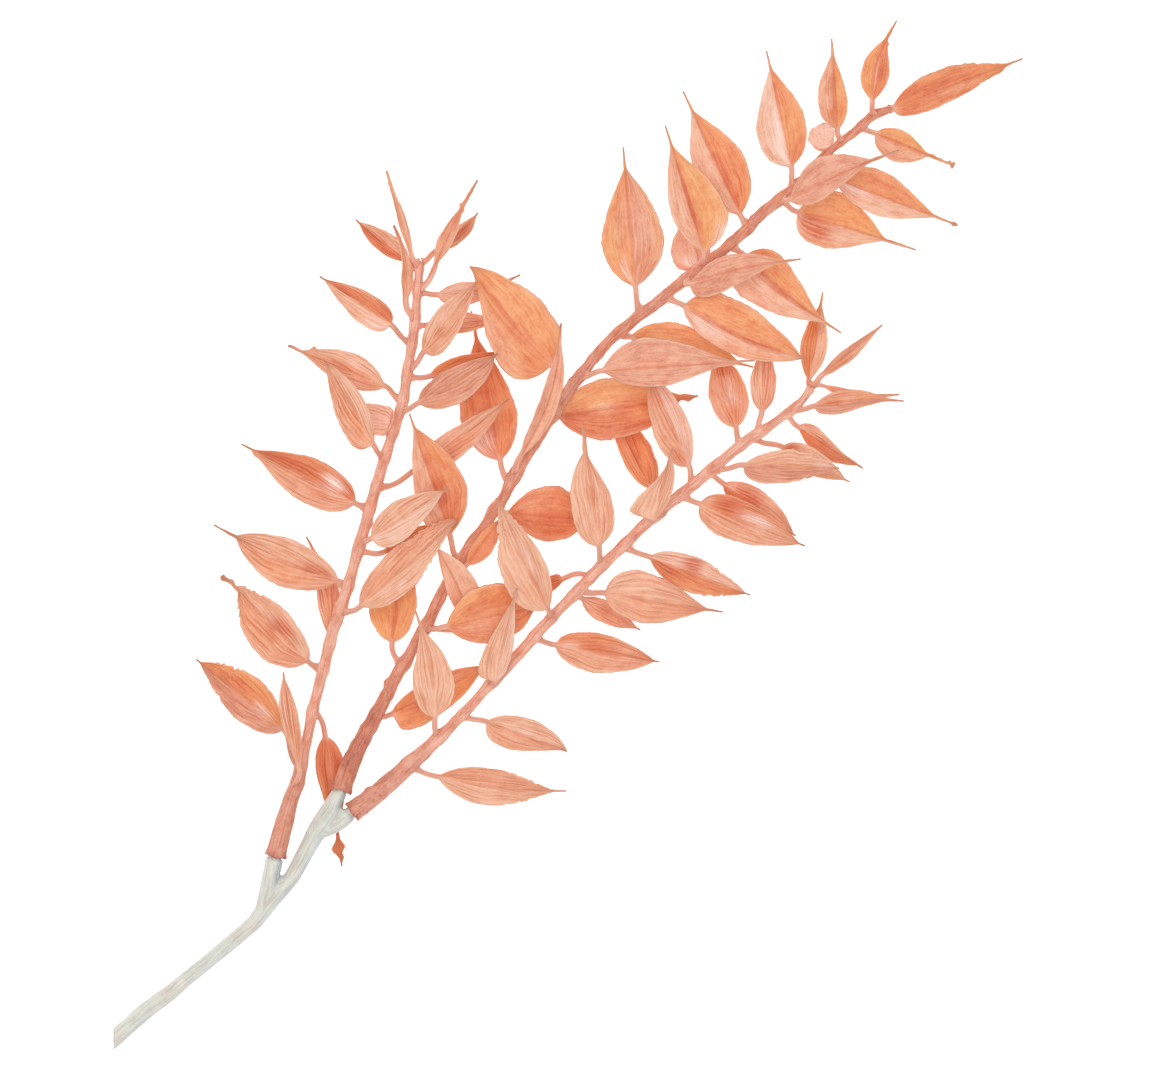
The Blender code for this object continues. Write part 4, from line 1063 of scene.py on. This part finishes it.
def build_fibre_group():
    """Colour = crest and groove mixed by broad and fine fibres, mottled, with a pale rim and painted
    highlights.
    """
    group = bpy.data.node_groups.new("dry fibres", "ShaderNodeTree")
    for name in PATTERN:
        group.interface.new_socket(name, in_out="INPUT", socket_type="NodeSocketFloat")
    for name, kind in (("Color", "Color"), ("Roughness", "Float"), ("Height", "Float")):
        group.interface.new_socket(name, in_out="OUTPUT", socket_type="NodeSocket" + kind)
    nodes, links = group.nodes, group.links
    given = nodes.new("NodeGroupInput").outputs
    result = nodes.new("NodeGroupOutput").inputs

    def attribute(name, output="Fac"):
        found = nodes.new("ShaderNodeAttribute")
        found.attribute_name = name
        return found.outputs[output]

    def math_node(operation, first, second, clamp=False):
        made = nodes.new("ShaderNodeMath")
        made.operation = operation
        made.use_clamp = clamp
        for socket, value in zip(made.inputs, (first, second)):
            connect(links, value, socket)
        return made.outputs[0]

    def times(first, second):
        return math_node("MULTIPLY", first, second)

    def plus(first, second, clamp=False):
        return math_node("ADD", first, second, clamp)

    def less(first, second, clamp=False):
        return math_node("SUBTRACT", first, second, clamp)

    def stretched(vector, factors):
        made = nodes.new("ShaderNodeVectorMath")
        made.operation = "MULTIPLY"
        made.inputs[1].default_value = factors
        links.new(vector, made.inputs[0])
        return made.outputs[0]

    def fibres(along, over, detail, low=0.34, high=0.66):
        strand = stretched(attribute("strand", "Vector"), (along, over, 1.0))
        noise = nodes.new("ShaderNodeTexNoise")
        noise.inputs["Scale"].default_value = 1.0
        noise.inputs["Detail"].default_value = detail
        links.new(strand, noise.inputs["Vector"])
        spread = nodes.new("ShaderNodeMapRange")
        spread.inputs["From Min"].default_value = low
        spread.inputs["From Max"].default_value = high
        links.new(noise.outputs[0], spread.inputs["Value"])
        return spread.outputs["Result"]

    def mixed(factor, first, second):
        made = nodes.new("ShaderNodeMix")
        made.data_type = "RGBA"
        for socket, value in (("Factor", factor), ("A", first), ("B", second)):
            connect(links, value, made.inputs[socket])
        return made.outputs["Result"]

    broad = fibres(0.05, 0.85, 2.0)
    fine = fibres(0.12, 2.3, 2.0)
    streak = fibres(0.075, 1.55, 1.0, 0.54, 0.66)
    gleam = fibres(0.06, 3.2, 1.0, 0.49, 0.59)
    blotch = fibres(0.2, 0.3, 2.0)
    speckle = fibres(0.9, 1.7, 4.0)
    darker = plus(times(broad, given["Broad"]), times(fine, given["Fine"]))
    # On the leaves the rib mask is partly painted shade: darker in the grooves between ribs, lighter on the
    # crests.
    darker = plus(darker, times(attribute("rib"), given["Rib"]))
    darker = plus(darker, times(less(blotch, 0.5), given["Mottle"]))
    grain = times(less(speckle, 0.5), times(given["Mottle"], 0.8))
    darker = plus(darker, grain, clamp=True)
    groove = attribute("groove", "Color")
    colour = mixed(darker, attribute("crest", "Color"), groove)
    colour = mixed(times(streak, given["Streaks"]), colour, stretched(groove, DEEPER))
    colour = mixed(times(attribute("rim"), 0.35), colour, (*linear(RIM_TONE), 1.0))
    # Painted highlight: near-white streaks are mixed in where the highlight mask is; below, the same mask
    # lowers the roughness.
    gloss_and_painted_highlight = attribute("gloss_and_painted_highlight")
    colour = mixed(times(gloss_and_painted_highlight, times(gleam, 0.95)), colour, (*linear(PAINTED_HIGHLIGHT_TONE), 1.0))
    links.new(colour, result["Color"])

    rough = plus(given["Rough"], times(less(broad, 0.5), 0.16))
    links.new(less(rough, times(gloss_and_painted_highlight, 0.2), clamp=True), result["Roughness"])
    height = plus(times(broad, -0.6), times(fine, -0.3))
    height = plus(height, times(streak, -0.4))
    height = plus(height, times(speckle, -0.15))
    links.new(height, result["Height"])
    return group


def connect(links, value, socket):
    """Links a socket, or sets a plain value."""
    if isinstance(value, bpy.types.NodeSocket):
        links.new(value, socket)
    else:
        socket.default_value = value


fibre_group = build_fibre_group()
print("node group:", fibre_group.name, len(fibre_group.nodes), "nodes")

# %% [markdown]
# ## The materials
# The centre spray's leaves are smooth and a little shiny, the other two sprays' are ribbed and duller, the
# spray stems are coarse, and the pale stem is waxy with a fine grain along it. Only numbers differ.

# %% Materials from the group
FINISHES = {
    "left_leaf": (0.26, 0.3, 0.7, 0.36, 0.4, 0.5, 0.25),
    "centre_leaf": (0.24, 0.3, 0.26, 0.14, 0.65, 0.45, 0.14),
    "right_leaf": (0.24, 0.28, 0.6, 0.34, 0.35, 0.48, 0.22),
    "spray_stem": (0.2, 0.3, 0.4, 0.3, 0.6, 0.55, 0.35),
    "pale_stem": (0.35, 0.5, 0.4, 0.0, 0.35, 0.45, 0.25),
}  # how strongly each part of PATTERN shows, then how deep the bump is in millimetres
BUMP_STRENGTH = 0.6
SHINE = 0.4


def dry_material(name, finish):
    """Principled shader fed by the fibre group: colour, roughness, and a bump from its height."""
    made = bpy.data.materials.new(name)
    made.use_nodes = True
    nodes, links = made.node_tree.nodes, made.node_tree.links
    shader = nodes["Principled BSDF"]
    fibres = nodes.new("ShaderNodeGroup")
    fibres.node_tree = fibre_group
    *amounts, bump_mm = finish
    for key, amount in zip(PATTERN, amounts):
        fibres.inputs[key].default_value = amount
    bump = nodes.new("ShaderNodeBump")
    bump.inputs["Strength"].default_value = BUMP_STRENGTH
    bump.inputs["Distance"].default_value = bump_mm * MM
    links.new(fibres.outputs["Height"], bump.inputs["Height"])
    links.new(fibres.outputs["Color"], shader.inputs["Base Color"])
    links.new(fibres.outputs["Roughness"], shader.inputs["Roughness"])
    links.new(bump.outputs["Normal"], shader.inputs["Normal"])
    shader.inputs["Specular IOR Level"].default_value = SHINE
    return made


materials = {name: dry_material(name + "_dry", finish) for name, finish in FINISHES.items()}
for spray, pieces in leaf_pieces.items():
    for piece in pieces:
        piece.data.materials.append(materials[f"{spray}_leaf"])
for piece in stem_pieces:
    piece.data.materials.append(materials["spray_stem"])
pale.data.materials.append(materials["pale_stem"])
print(list(materials))

# %% [markdown]
# ## Floor, light and camera
# The photo is lit evenly from all round, so a pale sky does most of the work and one large soft lamp from
# the upper left gives the ribs a little shape. The floor is a plain pale sheet that is also lit a little
# from behind, as a light table is, so that shadows stay faint.

# %% Floor and light
FLOOR_SIDE = 6.0
BELOW = -0.0002
LAMP_SIZE = 1.4
LAMP_POWER = 9.0
SKY_STRENGTH = 0.79
WHITE = (1.0, 1.0, 1.0, 1.0)
SHEET = {
    "Base Color": (0.8, 0.8, 0.8, 1.0),
    "Roughness": 0.9,
    "Specular IOR Level": 0.0,
    "Emission Color": WHITE,
    "Emission Strength": 0.62,
}
floor_look = bpy.data.materials.new("pale floor")
floor_look.use_nodes = True
floor_shader = floor_look.node_tree.nodes["Principled BSDF"]
for socket, value in SHEET.items():
    floor_shader.inputs[socket].default_value = value

sheet = bpy.data.meshes.new("floor")
half = FLOOR_SIDE / 2
corners = [(-half, -half, BELOW), (half, -half, BELOW), (half, half, BELOW), (-half, half, BELOW)]
sheet.from_pydata(corners, [], [(0, 1, 2, 3)])
sheet.materials.append(floor_look)
floor = add_object("floor", sheet)

lamp_data = bpy.data.lights.new("soft lamp", "AREA")
lamp_data.shape = "DISK"
lamp_data.size = LAMP_SIZE
lamp_data.energy = LAMP_POWER
lamp = add_object("soft lamp", lamp_data)
lamp_place = place(250, 150, 1500)
lamp.location = lamp_place
lamp.rotation_euler = Vector(-lamp_place).to_track_quat("-Z", "Y").to_euler()

world = bpy.data.worlds.new("pale room")
world.use_nodes = True
sky = world.node_tree.nodes["Background"].inputs
sky["Color"].default_value = WHITE
sky["Strength"].default_value = SKY_STRENGTH
bpy.context.scene.world = world
bpy.context.scene.view_settings.view_transform = "Standard"
bpy.context.scene.view_settings.look = "None"
print("floor", FLOOR_SIDE, "m; lamp at", lamp_place.round(2))

# %% [markdown]
# ## The camera
# The photo looks straight down, and its middle is the middle of the picture of 1150 by 1065 pixels. The
# camera stands far above the stem, so that near leaves are hardly larger than far ones, and its lens is
# worked out so that the width of the picture spans 1150 pixels at the height of the sprays.

# %% Camera
PHOTO_PX = (1150, 1065)
SENSOR_MM = 36.0
CAMERA_ABOVE = 6.0
SPRAY_HEIGHT_MM = 24.0

camera_data = bpy.data.cameras.new("camera")
camera_data.type = "PERSP"
camera_data.sensor_fit = "HORIZONTAL"
camera_data.sensor_width = SENSOR_MM
camera_data.lens = SENSOR_MM * CAMERA_ABOVE / (PHOTO_PX[0] * PIXEL_MM * MM)
camera = add_object("camera", camera_data)
camera.location = place(PHOTO_PX[0] / 2, PHOTO_PX[1] / 2, SPRAY_HEIGHT_MM + CAMERA_ABOVE / MM)
camera.rotation_euler = (0.0, 0.0, TURN)
bpy.context.scene.camera = camera
print("lens", round(camera_data.lens, 1), "mm")
